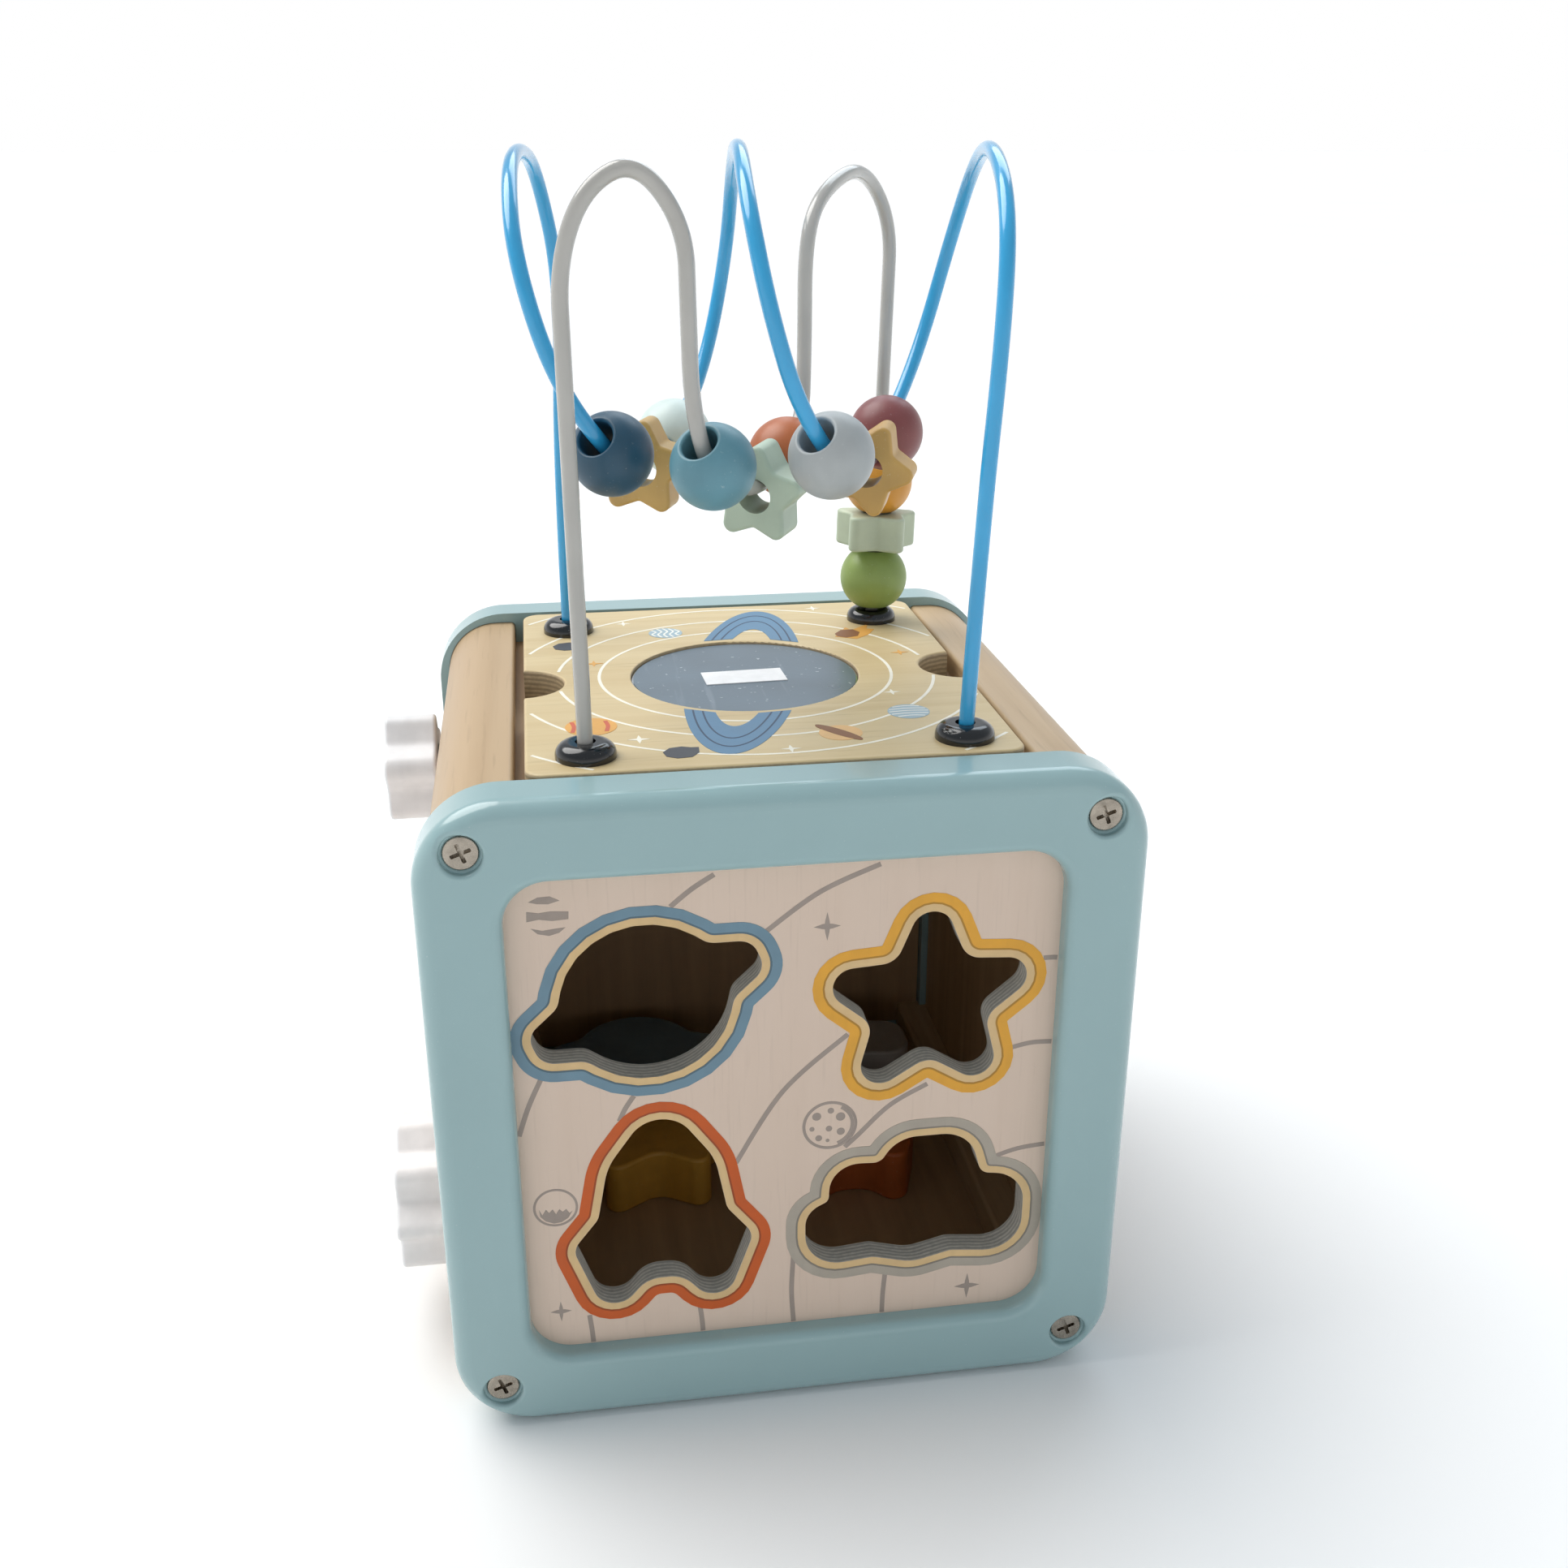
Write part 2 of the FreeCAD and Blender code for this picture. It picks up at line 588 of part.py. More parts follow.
def wire_path(turns):
    """Straight runs joined by tangent arcs, each arc as large as its two runs allow."""
    shift = Vector(dim("cube_shift"), 0, 0)
    points = [Vector(*turn) + shift for turn in turns]
    edges = []
    last = points[0]
    for before, here, after in zip(points, points[1:], points[2:]):
        back, ahead = before - here, after - here
        cut = 0.45 * min(back.Length, ahead.Length)
        back.normalize()
        ahead.normalize()
        half = 0.5 * back.getAngle(ahead)
        to_centre = (back + ahead).normalize()
        middle = here + to_centre * (cut / math.cos(half) - cut * math.tan(half))
        start, finish = here + back * cut, here + ahead * cut
        edges.append(Part.LineSegment(last, start).toShape())
        edges.append(Part.Arc(start, middle, finish).toShape())
        last = finish
    edges.append(Part.LineSegment(last, points[-1]).toShape())
    return Part.Wire(edges)


def make_wire(label, turns):
    """A bent rod: a circle swept along the path, checked against section times length."""
    path = doc.addObject("Part::Feature", label + "_path")
    path.Shape = wire_path(turns)
    ring = doc.addObject("Part::Circle", label + "_ring")
    bind(ring, Radius="dims.wire_dia / 2")
    edges = path.Shape.Edges
    first = edges[0]
    along = (first.Vertexes[1].Point - first.Vertexes[0].Point).normalize()
    ring.Placement = Placement(path.Shape.OrderedVertexes[0].Point, Rotation(Vector(0, 0, 1), along))
    rod = doc.addObject("Part::Sweep", label)
    rod.Label = label
    rod.Sections = [ring]
    rod.Spine = (path, ["Edge%d" % (i + 1) for i in range(len(edges))])
    rod.Solid = True
    rod.Frenet = False
    rod.Transition = "Right corner"
    doc.recompute()
    expected = math.pi * dim("wire_dia") ** 2 / 4 * path.Shape.Length
    if abs(rod.Shape.Volume / expected - 1) > 0.005:
        raise RuntimeError("%s volume is %.3f of the expected" % (label, rod.Shape.Volume / expected))
    return rod


# ---------------------------------------------------------------- beads and stars on the wires

# name: (wire, distance along it, hang below it, turn about its own bore)
BEADS = {
    "dark_blue_bead": ("blue", 260, 0.1, 0),
    "mint_white_bead": ("blue", 311.5, 1.2, 0),
    "light_grey_bead": ("blue", 519, 0.5, 0),
    "mauve_bead": ("blue", 589, 1.2, 0),
    "light_blue_bead": ("grey", 206, -0.2, 0),
    "orange_bead": ("grey", 249.5, 1, 0),
    "yellow_bead": ("grey", 429.5, 0, 0),
    "green_bead": ("grey", 456.25, 0, 0),
}
STARS = {
    "front_left_star": ("blue", 289.5, 1.6, 20),
    "front_right_star": ("blue", 567, 1.6, 40),
    "middle_star": ("grey", 234.5, 1.6, 10),
    "back_right_star": ("grey", 442.75, 0, 10),
}


def bead_long():
    """Length of a bead along its bore, between the two ends that the bore cuts off."""
    return 2 * math.sqrt((dim("bead_dia") / 2) ** 2 - (dim("bead_bore") / 2) ** 2)


def seat_on_wire(turns, distance, hang, turn, length):
    """Where a bored piece hangs on its wire: on the wire's mean line over the bore, and lower by hang."""
    path = wire_path(turns)
    step = 0.25
    samples = path.discretize(Number=int(path.Length / step) + 1)
    middle, reach_out = int(distance / step), int(length / step / 2)
    inside = samples[middle - reach_out:middle + reach_out + 1]
    axis = (inside[-1] - inside[0]).normalize()
    centre = Vector()
    for point in inside:
        centre = centre + point
    centre = centre / len(inside)
    down = Vector(0, 0, -1) + axis * axis.z
    if hang:
        centre = centre + down.normalize() * hang
    rotation = Rotation(Vector(0, 0, 1), axis).multiply(Rotation(Vector(0, 0, 1), turn))
    return Placement(centre, rotation)


def make_bead(label, placement):
    """A turned wooden ball with a wide bore along its own Z."""
    body = new_body(label)
    body.Placement = placement
    sketch = new_sketch(body, label + "_half", "XZ_Plane", "0")
    ball, bore = dim("bead_dia") / 2, dim("bead_bore") / 2
    end = bead_long() / 2
    sketch.addGeometry(Part.Arc(Vector(bore, end, 0), Vector(ball, 0, 0), Vector(bore, -end, 0)), False)
    sketch.addGeometry(Part.LineSegment(Vector(bore, -end, 0), Vector(bore, end, 0)), False)
    turned_ball = body.newObject("PartDesign::Revolution", label + "_ball")
    turned_ball.Profile = sketch
    turned_ball.ReferenceAxis = (sketch, ["V_Axis"])
    turned_ball.Angle = 360
    sketch.Visibility = False
    doc.recompute()
    round_edges(body, "dims.bore_round", lambda e: is_circle(e, bore))
    return body


def make_star(label, placement):
    """A thick five-pointed star with rounded points and a bore along its own Z."""
    body = new_body(label)
    body.Placement = placement
    outline = new_sketch(body, label + "_outline", "XY_Plane", "-dims.star_thick / 2")
    draw_corners(outline, star_corners(5, dim("star_tip"), dim("star_valley"),
                                       dim("star_tip_round"), dim("star_valley_round")))
    pad(body, outline, "dims.star_thick")
    round_edges(body, "dims.star_edge", lambda e: on_plane(e, "z", dim("star_thick") / 2)
                or on_plane(e, "z", -dim("star_thick") / 2))
    bore = new_sketch(body, label + "_bore", "XY_Plane", "-dims.star_thick / 2")
    draw_circle(bore, 0, 0, "bead_bore")
    pocket(body, bore, "dims.star_thick", True)
    return body


# ---------------------------------------------------------------- spinners and sorter blocks

def spinner_body(label, y, z):
    """Spinner pieces turn about X, so they are drawn on YZ about their own axle."""
    return new_body(label, shift=Vector(dim("cube_shift"), y, z))


def make_spinner(label, at, corners):
    """A lobed wooden wheel with a running bore and a counterbore for the axle's head."""
    body = spinner_body(label, *at)
    face = "-(dims.cube_size / 2 + dims.spinner_thick)"
    outline = new_sketch(body, label + "_outline", "YZ_Plane", face)
    draw_corners(outline, corners)
    pad(body, outline, "dims.spinner_thick - dims.spinner_gap")
    outer, inner = -(dim("cube_size") / 2 + dim("spinner_thick")), -dim("cube_size") / 2 - dim("spinner_gap")
    round_edges(body, "dims.block_edge", lambda e: on_plane(e, "x", outer) or on_plane(e, "x", inner))
    sink = new_sketch(body, label + "_sink", "YZ_Plane", face)
    draw_circle(sink, 0, 0, "head_sink")
    pocket(body, sink, "dims.axle_head_thick + dims.axle_head_sunk", True)
    bore = new_sketch(body, label + "_bore", "YZ_Plane", face)
    draw_circle(bore, 0, 0, "spinner_bore")
    pocket(body, bore, "dims.spinner_thick", True)
    return body


def make_axle(label, at):
    """The dowel that a spinner turns on: its head outside, its tail through the left panel."""
    body = spinner_body(label, *at)
    face = "-(dims.cube_size / 2 + dims.spinner_thick)"
    head = new_sketch(body, label + "_head", "YZ_Plane", face)
    draw_circle(head, 0, 0, "axle_head")
    pad(body, head, "dims.axle_head_thick")
    outer = -(dim("cube_size") / 2 + dim("spinner_thick"))
    round_edges(body, "dims.axle_head_round", lambda e: on_plane(e, "x", outer))
    shaft = new_sketch(body, label + "_shaft", "YZ_Plane", face)
    draw_circle(shaft, 0, 0, "axle_dia")
    pad(body, shaft, "dims.spinner_thick + dims.side_inset + dims.panel_thick + dims.tail_long")
    return body


def make_ring(label, at, outer, inner, start, length):
    """A plain ring on a spinner's axle."""
    body = spinner_body(label, *at)
    outline = new_sketch(body, label + "_outline", "YZ_Plane", start)
    draw_circle(outline, 0, 0, outer)
    draw_circle(outline, 0, 0, inner)
    pad(body, outline, length)
    return body


def make_spinner_set(name, at, corners):
    make_spinner(name, at, corners)
    make_axle(name + "_axle", at)
    make_ring(name + "_spacer", at, "spacer_dia", "axle_hole", "-dims.cube_size / 2",
              "dims.side_inset")
    make_ring(name + "_retainer", at, "axle_head", "axle_hole",
              "-(dims.cube_size / 2 - dims.side_inset - dims.panel_thick)", "dims.retainer_long")


def make_block(label, corners, at):
    """A loose sorter block: its hole's outline, smaller all round, lying on the cube's floor."""
    body = new_body(label, shift=Vector(dim("cube_shift") + at[0], at[1], 0))
    floor = dim("side_inset") + dim("panel_thick")
    outline = new_sketch(body, label + "_outline", "XY_Plane", "dims.side_inset + dims.panel_thick")
    draw_corners(outline, offset_corners(corners, dim("block_play")))
    pad(body, outline, "dims.block_thick")
    top = floor + dim("block_thick")
    round_edges(body, "dims.block_edge", lambda e: on_plane(e, "z", floor) or on_plane(e, "z", top))
    return body


# ---------------------------------------------------------------- the whole cube

def build():
    set_cells()
    back = Rotation(Vector(0, 0, 1), 180)
    make_frame("front_frame", Rotation())
    make_frame("back_frame", back)
    make_screws("front_screws", Rotation())
    make_screws("back_screws", back)
    for side, sx in (("left", -1), ("right", 1)):
        for level, sz in (("bottom", -1), ("top", 1)):
            make_post("%s_%s_post" % (side, level), sx, sz)
    make_sorter_panel()
    make_back_panel()
    make_side_panel("left_panel", -1, "YZ_Plane")
    make_side_panel("right_panel", 1, "YZ_Plane")
    make_side_panel("bottom_panel", -1, "XY_Plane")
    make_rail("left_lid_rail", -1)
    make_rail("right_lid_rail", 1)
    make_lid()
    make_mirror()
    make_nuts()
    for place, at in wire_feet().items():
        make_grommet(place, at)
    wires = {"blue": BLUE_TURNS, "grey": GREY_TURNS}
    for colour, turns in wires.items():
        make_wire(colour + "_wire", turns)
    for label, (colour, distance, hang, turn) in BEADS.items():
        make_bead(label, seat_on_wire(wires[colour], distance, hang, turn, bead_long()))
    for label, (colour, distance, hang, turn) in STARS.items():
        make_star(label, seat_on_wire(wires[colour], distance, hang, turn, dim("star_thick")))
    make_spinner_set("star_spinner", SPINNERS["star_spinner"], star_corners(*STAR_WHEEL))
    make_spinner_set("cog_spinner", SPINNERS["cog_spinner"], star_corners(*COG_WHEEL))
    holes = hole_corners()
    make_block("planet_block", turned(PLANET, 0), (-29, 44.5))
    make_block("star_block", turned(holes["star"], 0, (-STAR_AT[0], -STAR_AT[1])), (-27, 0))
    make_block("rocket_block", rocket_corners(), (26, 25.5))
    make_block("cloud_block", turned(CLOUD, 0, (-30.1, 29)), (28.5, 44.5))


def finished_pieces():
    """Every sub-part by its label: the bodies, the rods and the plain primitives."""
    kinds = ("PartDesign::Body", "Part::Sweep", "Part::Box", "Part::Cylinder")
    return {obj.Label: obj for obj in doc.Objects if obj.TypeId in kinds}


def check_and_export():
    doc.recompute()
    for obj in doc.Objects:
        if "Invalid" in obj.State or "Error" in obj.State:
            raise RuntimeError("%s is %s" % (obj.Label, obj.State))
    os.makedirs("parts", exist_ok=True)
    for label, piece in finished_pieces().items():
        shape = piece.Shape
        if shape.isNull() or not shape.isValid() or shape.Volume <= 0:
            raise RuntimeError("bad shape in " + label)
        shape.exportStep("parts/%s.step" % label)
        print("%-24s %9.0f mm3, %d solid(s)" % (label, shape.Volume, len(shape.Solids)))


build()
check_and_export()
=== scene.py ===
"""Looks of the baby activity cube: materials for every CAD node, the printed art on the sorter
panel and the lid as thin raised ink, a pale floor, soft light and the camera."""
import bpy
import bmesh
import math
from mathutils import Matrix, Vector


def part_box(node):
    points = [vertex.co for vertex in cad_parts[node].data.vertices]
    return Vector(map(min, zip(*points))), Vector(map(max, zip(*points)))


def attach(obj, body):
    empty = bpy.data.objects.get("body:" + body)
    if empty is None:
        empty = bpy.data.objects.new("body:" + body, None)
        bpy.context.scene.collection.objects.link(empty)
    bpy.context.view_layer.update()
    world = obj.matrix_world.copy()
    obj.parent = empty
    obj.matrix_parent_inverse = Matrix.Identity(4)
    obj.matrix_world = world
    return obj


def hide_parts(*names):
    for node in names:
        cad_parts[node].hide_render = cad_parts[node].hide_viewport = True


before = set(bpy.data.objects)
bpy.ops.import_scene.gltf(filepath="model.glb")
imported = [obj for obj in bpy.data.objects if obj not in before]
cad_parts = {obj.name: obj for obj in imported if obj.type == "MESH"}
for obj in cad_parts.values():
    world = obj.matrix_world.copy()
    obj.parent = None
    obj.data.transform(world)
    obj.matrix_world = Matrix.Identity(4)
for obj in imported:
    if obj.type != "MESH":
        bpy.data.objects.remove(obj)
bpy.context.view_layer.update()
MM = 0.001

# Places that follow the frame
panel_low, panel_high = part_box("sorter_panel")
PANEL_X = (panel_low.x + panel_high.x) / 2
PANEL_Z = (panel_low.z + panel_high.z) / 2
PANEL_FACE = panel_low.y
lid_low, lid_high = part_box("lid_panel")
LID_TOP = lid_high.z
INK_DEEP = 0.05 * MM        # how far ink reaches into the wood under it
LINE_INK = 0.05 * MM        # how far printed lines stand out
BAND_INK = 0.08 * MM        # how far printed areas stand out
DETAIL_INK = 0.11 * MM      # how far lines over printed areas stand out
CURVE_STEPS = 10            # points on a printed curve, from one given point to the next
OVAL_POINTS = 40            # points round a printed oval
CORNER_POINTS = 9           # points round each corner of a hole's outline


def srgb(r, g, b):
    """A colour given as 0 to 255 on a display, as the shader's linear values."""
    def linear(v):
        v = v / 255
        return v / 12.92 if v <= 0.04045 else ((v + 0.055) / 1.055) ** 2.4
    return (linear(r), linear(g), linear(b), 1)


def shade(colour, factor):
    """The colour made darker or lighter, with no channel above 1."""
    return tuple(min(c * factor, 1) for c in colour[:3]) + (1,)


# ---------------------------------------------------------------- material nodes

FACING_LIMIT = 0.6                                          # least cosine that counts as facing
MIX_FACTOR, MIX_FIRST, MIX_SECOND, MIX_RESULT = 0, 6, 7, 2  # the Mix node's colour sockets


class Nodes:
    """A material with a Principled shader, and short calls for the nodes that feed it."""

    def __init__(self, name, colour, roughness, metallic=0.0, coat=0.0, coat_roughness=0.1):
        self.material = bpy.data.materials.new(name)
        self.material.use_nodes = True
        self.tree = self.material.node_tree
        self.shader = self.tree.nodes["Principled BSDF"]
        self.material.diffuse_color = colour
        sockets = self.shader.inputs
        sockets["Base Color"].default_value = colour
        sockets["Roughness"].default_value = roughness
        sockets["Metallic"].default_value = metallic
        sockets["Coat Weight"].default_value = coat
        sockets["Coat Roughness"].default_value = coat_roughness
        self.place = self.tree.nodes.new("ShaderNodeTexCoord")

    def link(self, source, node, socket):
        self.tree.links.new(source, node.inputs[socket])

    def mapped(self, scale=(1, 1, 1), shift=(0, 0, 0)):
        """Places in the part's own frame, scaled and shifted."""
        node = self.tree.nodes.new("ShaderNodeMapping")
        node.inputs["Scale"].default_value = scale
        node.inputs["Location"].default_value = shift
        self.link(self.place.outputs["Object"], node, "Vector")
        return node.outputs["Vector"]

    def noise(self, scale, detail=3, stretch=(1, 1, 1), shift=(0, 0, 0), distortion=0):
        node = self.tree.nodes.new("ShaderNodeTexNoise")
        node.inputs["Scale"].default_value = scale
        node.inputs["Detail"].default_value = detail
        node.inputs["Distortion"].default_value = distortion
        self.link(self.mapped(stretch, shift), node, "Vector")
        return node.outputs["Fac"]

    def bands(self, scale, axis, distortion, detail):
        node = self.tree.nodes.new("ShaderNodeTexWave")
        node.bands_direction = axis
        node.inputs["Scale"].default_value = scale
        node.inputs["Distortion"].default_value = distortion
        node.inputs["Detail"].default_value = detail
        node.inputs["Detail Scale"].default_value = 1.2
        self.link(self.mapped(), node, "Vector")
        return node.outputs["Fac"]

    def ramp(self, factor, start, end, top=1):
        """0 where the factor is below start, top where it is above end."""
        node = self.tree.nodes.new("ShaderNodeValToRGB")
        for point, place, value in zip(node.color_ramp.elements, (start, end), (0, top)):
            point.position = place
            point.color = (value, value, value, 1)
        self.link(factor, node, "Fac")
        return node.outputs["Color"]

    def mix(self, factor, first, second):
        """The first colour where the factor is 0, the second where it is 1."""
        node = self.tree.nodes.new("ShaderNodeMix")
        node.data_type = "RGBA"
        for socket, value in ((MIX_FACTOR, factor), (MIX_FIRST, first), (MIX_SECOND, second)):
            if hasattr(value, "links"):
                self.tree.links.new(value, node.inputs[socket])
            else:
                node.inputs[socket].default_value = value
        return node.outputs[MIX_RESULT]

    def facing(self, direction):
        """1 where the surface looks along the direction, +X, -X and so on, and 0 elsewhere."""
        sign, axis = direction
        split = self.tree.nodes.new("ShaderNodeSeparateXYZ")
        self.link(self.place.outputs["Normal"], split, "Vector")
        test = self.tree.nodes.new("ShaderNodeMath")
        test.operation = "GREATER_THAN" if sign == "+" else "LESS_THAN"
        test.inputs[1].default_value = FACING_LIMIT if sign == "+" else -FACING_LIMIT
        self.link(split.outputs[axis], test, 0)
        return test.outputs[0]

    def colour(self, source):
        self.link(source, self.shader, "Base Color")

    def roughness(self, factor, low, high):
        node = self.tree.nodes.new("ShaderNodeMapRange")
        node.inputs["To Min"].default_value = low
        node.inputs["To Max"].default_value = high
        self.link(factor, node, "Value")
        self.link(node.outputs["Result"], self.shader, "Roughness")

    def bump(self, height, strength, distance_mm, under=None):
        """Fine relief on the shader's normal, on top of another bump if one is given."""
        node = self.tree.nodes.new("ShaderNodeBump")
        node.inputs["Strength"].default_value = strength
        node.inputs["Distance"].default_value = distance_mm * MM
        self.link(height, node, "Height")
        if under is not None:
            self.link(under, node, "Normal")
        self.link(node.outputs["Normal"], self.shader, "Normal")
        return node.outputs["Normal"]


# How noise is squeezed so that it draws out along the grain
GRAIN = {"X": (0.05, 1, 1), "Y": (1, 0.05, 1), "Z": (1, 1, 0.05)}
STREAKS_PER_RING, PORES_PER_RING = 9, 55


def wood_colour(m, light, dark, along, shift=(0, 0, 0), rings=14, contrast=0.55, streaks=0.45):
    """Long grain: broad rings, finer streaks and pores, all drawn out along one axis."""
    stretch = GRAIN[along]
    broad = m.noise(rings, 4, stretch, shift, distortion=1.2)
    streak = m.noise(rings * STREAKS_PER_RING, 5, stretch, shift, distortion=0.4)
    pores = m.noise(rings * PORES_PER_RING, 3, stretch, shift)
    base = m.mix(m.ramp(broad, 0.3, 0.72, contrast), light, dark)
    base = m.mix(m.ramp(streak, 0.42, 0.75, streaks), base, dark)
    base = m.mix(m.ramp(pores, 0.58, 0.72, 0.6 * streaks), base, shade(dark, 0.7))
    return base, pores, streak


def plain_wood(name, light, dark, along, gloss=0.42, shift=(0, 0, 0), knots=False, rings=14):
    m = Nodes(name, light, gloss, coat=0.15, coat_roughness=0.3)
    colour, pores, streak = wood_colour(m, light, dark, along, shift, rings)
    if knots:
        spots = m.noise(17, 1, stretch=(1, 0.55, 1), shift=(0.31, 0.12, 0.05), distortion=0.6)
        colour = m.mix(m.ramp(spots, 0.66, 0.74, 0.75), colour, shade(dark, 0.45))
    m.colour(colour)
    m.roughness(streak, gloss - 0.08, gloss + 0.12)
    m.bump(pores, 0.25, 0.12)
    return m.material


def ply_colour(m, light, axis):
    """Cut plywood: thin layers across one axis, roughened along the cut."""
    dark = shade(light, 0.55)
    layers = m.bands(260, axis, distortion=1.4, detail=3)
    fuzz = m.noise(900)
    base = m.mix(m.ramp(layers, 0.35, 0.65, 0.8), light, dark)
    return m.mix(m.ramp(fuzz, 0.35, 0.75, 0.4), base, shade(dark, 0.75))


def printed_ply(name, print_light, print_dark, along, outside, raw=(196, 158, 112),
                cut=(214, 208, 196), figure=0.25):
    """Plywood with a printed, lacquered face outside, layered edges and bare wood inside."""
    m = Nodes(name, print_light, 0.5, coat=0.2, coat_roughness=0.35)
    face, pores, streak = wood_colour(m, print_light, print_dark, along, rings=22,
                                      contrast=figure, streaks=0.8 * figure)
    sign, axis = outside
    edge = ply_colour(m, srgb(*cut), axis)
    inside = m.mix(streak, srgb(*raw), shade(srgb(*raw), 0.55))
    opposite = ("-" if sign == "+" else "+") + axis
    colour = m.mix(m.facing(outside), edge, face)
    m.colour(m.mix(m.facing(opposite), colour, inside))
    m.roughness(streak, 0.42, 0.62)
    m.bump(pores, 0.12, 0.08)
    return m.material


def painted_wood(name, colour, shift):
    """Satin paint over turned wood: a little pooling, dust, and the grain just showing through."""
    roughness = 0.42
    m = Nodes(name, colour, roughness, coat=0.12, coat_roughness=0.3)
    cloud = m.noise(90, 3, shift=shift)
    speck = m.noise(1400, 2, shift=shift)
    fibre = m.noise(420, 4, (1, 1, 0.12), shift)
    base = m.mix(m.ramp(cloud, 0.3, 0.7), shade(colour, 0.9), shade(colour, 1.08))
    base = m.mix(m.ramp(fibre, 0.45, 0.8, 0.1), base, shade(colour, 0.6))
    base = m.mix(m.ramp(speck, 0.68, 0.78, 0.16), base, (0.85, 0.83, 0.8, 1))
    m.colour(base)
    m.roughness(cloud, roughness - 0.07, roughness + 0.1)
    m.bump(speck, 0.12, 0.05, m.bump(fibre, 0.16, 0.15))
    return m.material


def moulded_plastic(name, colour, roughness, variation):
    """Glossy moulding with faint flow marks, dust and handling haze."""
    m = Nodes(name, colour, roughness, coat=0.35, coat_roughness=0.06)
    flow = m.noise(26, 3)
    haze = m.noise(140, 4, shift=(0.2, 0.1, 0))
    dust = m.noise(2600, 1)
    low, high = shade(colour, 1 - variation), shade(colour, 1 + variation)
    base = m.mix(m.ramp(flow, 0.3, 0.7), low, high)
    base = m.mix(m.ramp(dust, 0.74, 0.8, 0.22), base, (0.9, 0.9, 0.9, 1))
    m.colour(base)
    m.roughness(haze, roughness - 0.03, roughness + 0.05)
    m.bump(haze, 0.03, 0.1)
    return m.material


def coated_wire(name, colour):
    """Dipped coating on steel: even and glossy, with slight sags along it."""
    m = Nodes(name, colour, 0.28, coat=0.5, coat_roughness=0.08)
    sag = m.noise(60, 2)
    fine = m.noise(900, 2)
    m.colour(m.mix(m.ramp(sag, 0.3, 0.7), shade(colour, 0.94), shade(colour, 1.05)))
    m.roughness(fine, 0.16, 0.24)
    m.bump(sag, 0.05, 0.1)
    return m.material


def bright_metal(name, colour, roughness):
    """Plated steel with turned marks and faint tarnish."""
    m = Nodes(name, colour, roughness, metallic=1)
    tarnish = m.noise(380, 4)
    marks = m.noise(2400, 2, (1, 0.2, 1))
    m.colour(m.mix(m.ramp(tarnish, 0.35, 0.75), colour, shade(colour, 0.62)))
    m.roughness(marks, roughness - 0.08, roughness + 0.14)
    m.bump(marks, 0.15, 0.05)
    return m.material


def film_material():
    """Protective film over a mirror: grey-blue, hazy, with small bubbles and long scuffs."""
    tint = srgb(98, 114, 126)
    m = Nodes("film_haze", tint, 0.3, metallic=0.25, coat=0.25, coat_roughness=0.2)
    haze = m.noise(45, 4)
    bubbles = m.noise(700, 1)
    scuffs = m.noise(260, 3, (1, 0.07, 1))
    base = m.mix(m.ramp(haze, 0.3, 0.7), shade(tint, 0.86), shade(tint, 1.1))
    base = m.mix(m.ramp(bubbles, 0.73, 0.78, 0.6), base, srgb(205, 212, 220))
    base = m.mix(m.ramp(scuffs, 0.66, 0.76, 0.25), base, srgb(170, 180, 192))
    m.colour(base)
    m.roughness(haze, 0.22, 0.42)
    m.bump(bubbles, 0.2, 0.06)
    return m.material


def ink(name, colour, roughness=0.5):
    """Screen-printed ink: matt, slightly mottled, the wood's grain coming through."""
    m = Nodes(name, colour, roughness)
    mottle = m.noise(160, 4)
    fibre = m.noise(520, 3, (1, 1, 0.12))
    base = m.mix(m.ramp(mottle, 0.3, 0.75), shade(colour, 0.93), shade(colour, 1.06))
    m.colour(m.mix(m.ramp(fibre, 0.5, 0.8, 0.16), base, shade(colour, 0.7)))
    m.roughness(mottle, roughness - 0.08, roughness + 0.1)
    m.bump(fibre, 0.1, 0.05)
    return m.material


def dress(node, material):
    """Give a CAD node its material in every slot."""
    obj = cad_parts[node]
    if not obj.material_slots:
        obj.data.materials.append(None)
    for slot in obj.material_slots:
        slot.material = material


# The paint of each turned or cut wooden piece, as it looks in the photo
PAINTS = {
    "dark_blue_bead": (30, 72, 94), "mint_white_bead": (214, 228, 222),
    "light_grey_bead": (168, 172, 172), "mauve_bead": (132, 70, 70),
    "light_blue_bead": (94, 142, 156), "orange_bead": (184, 100, 52),
    "green_bead": (138, 160, 84), "yellow_bead": (214, 150, 50),
    "front_left_star": (196, 158, 88), "front_right_star": (198, 156, 84),
    "middle_star": (176, 192, 172), "back_right_star": (186, 198, 172),
    "star_spinner": (236, 234, 234), "cog_spinner": (236, 234, 234),
    "planet_block": (104, 132, 148), "star_block": (214, 158, 58),
    "rocket_block": (190, 96, 42), "cloud_block": (170, 164, 156),
}


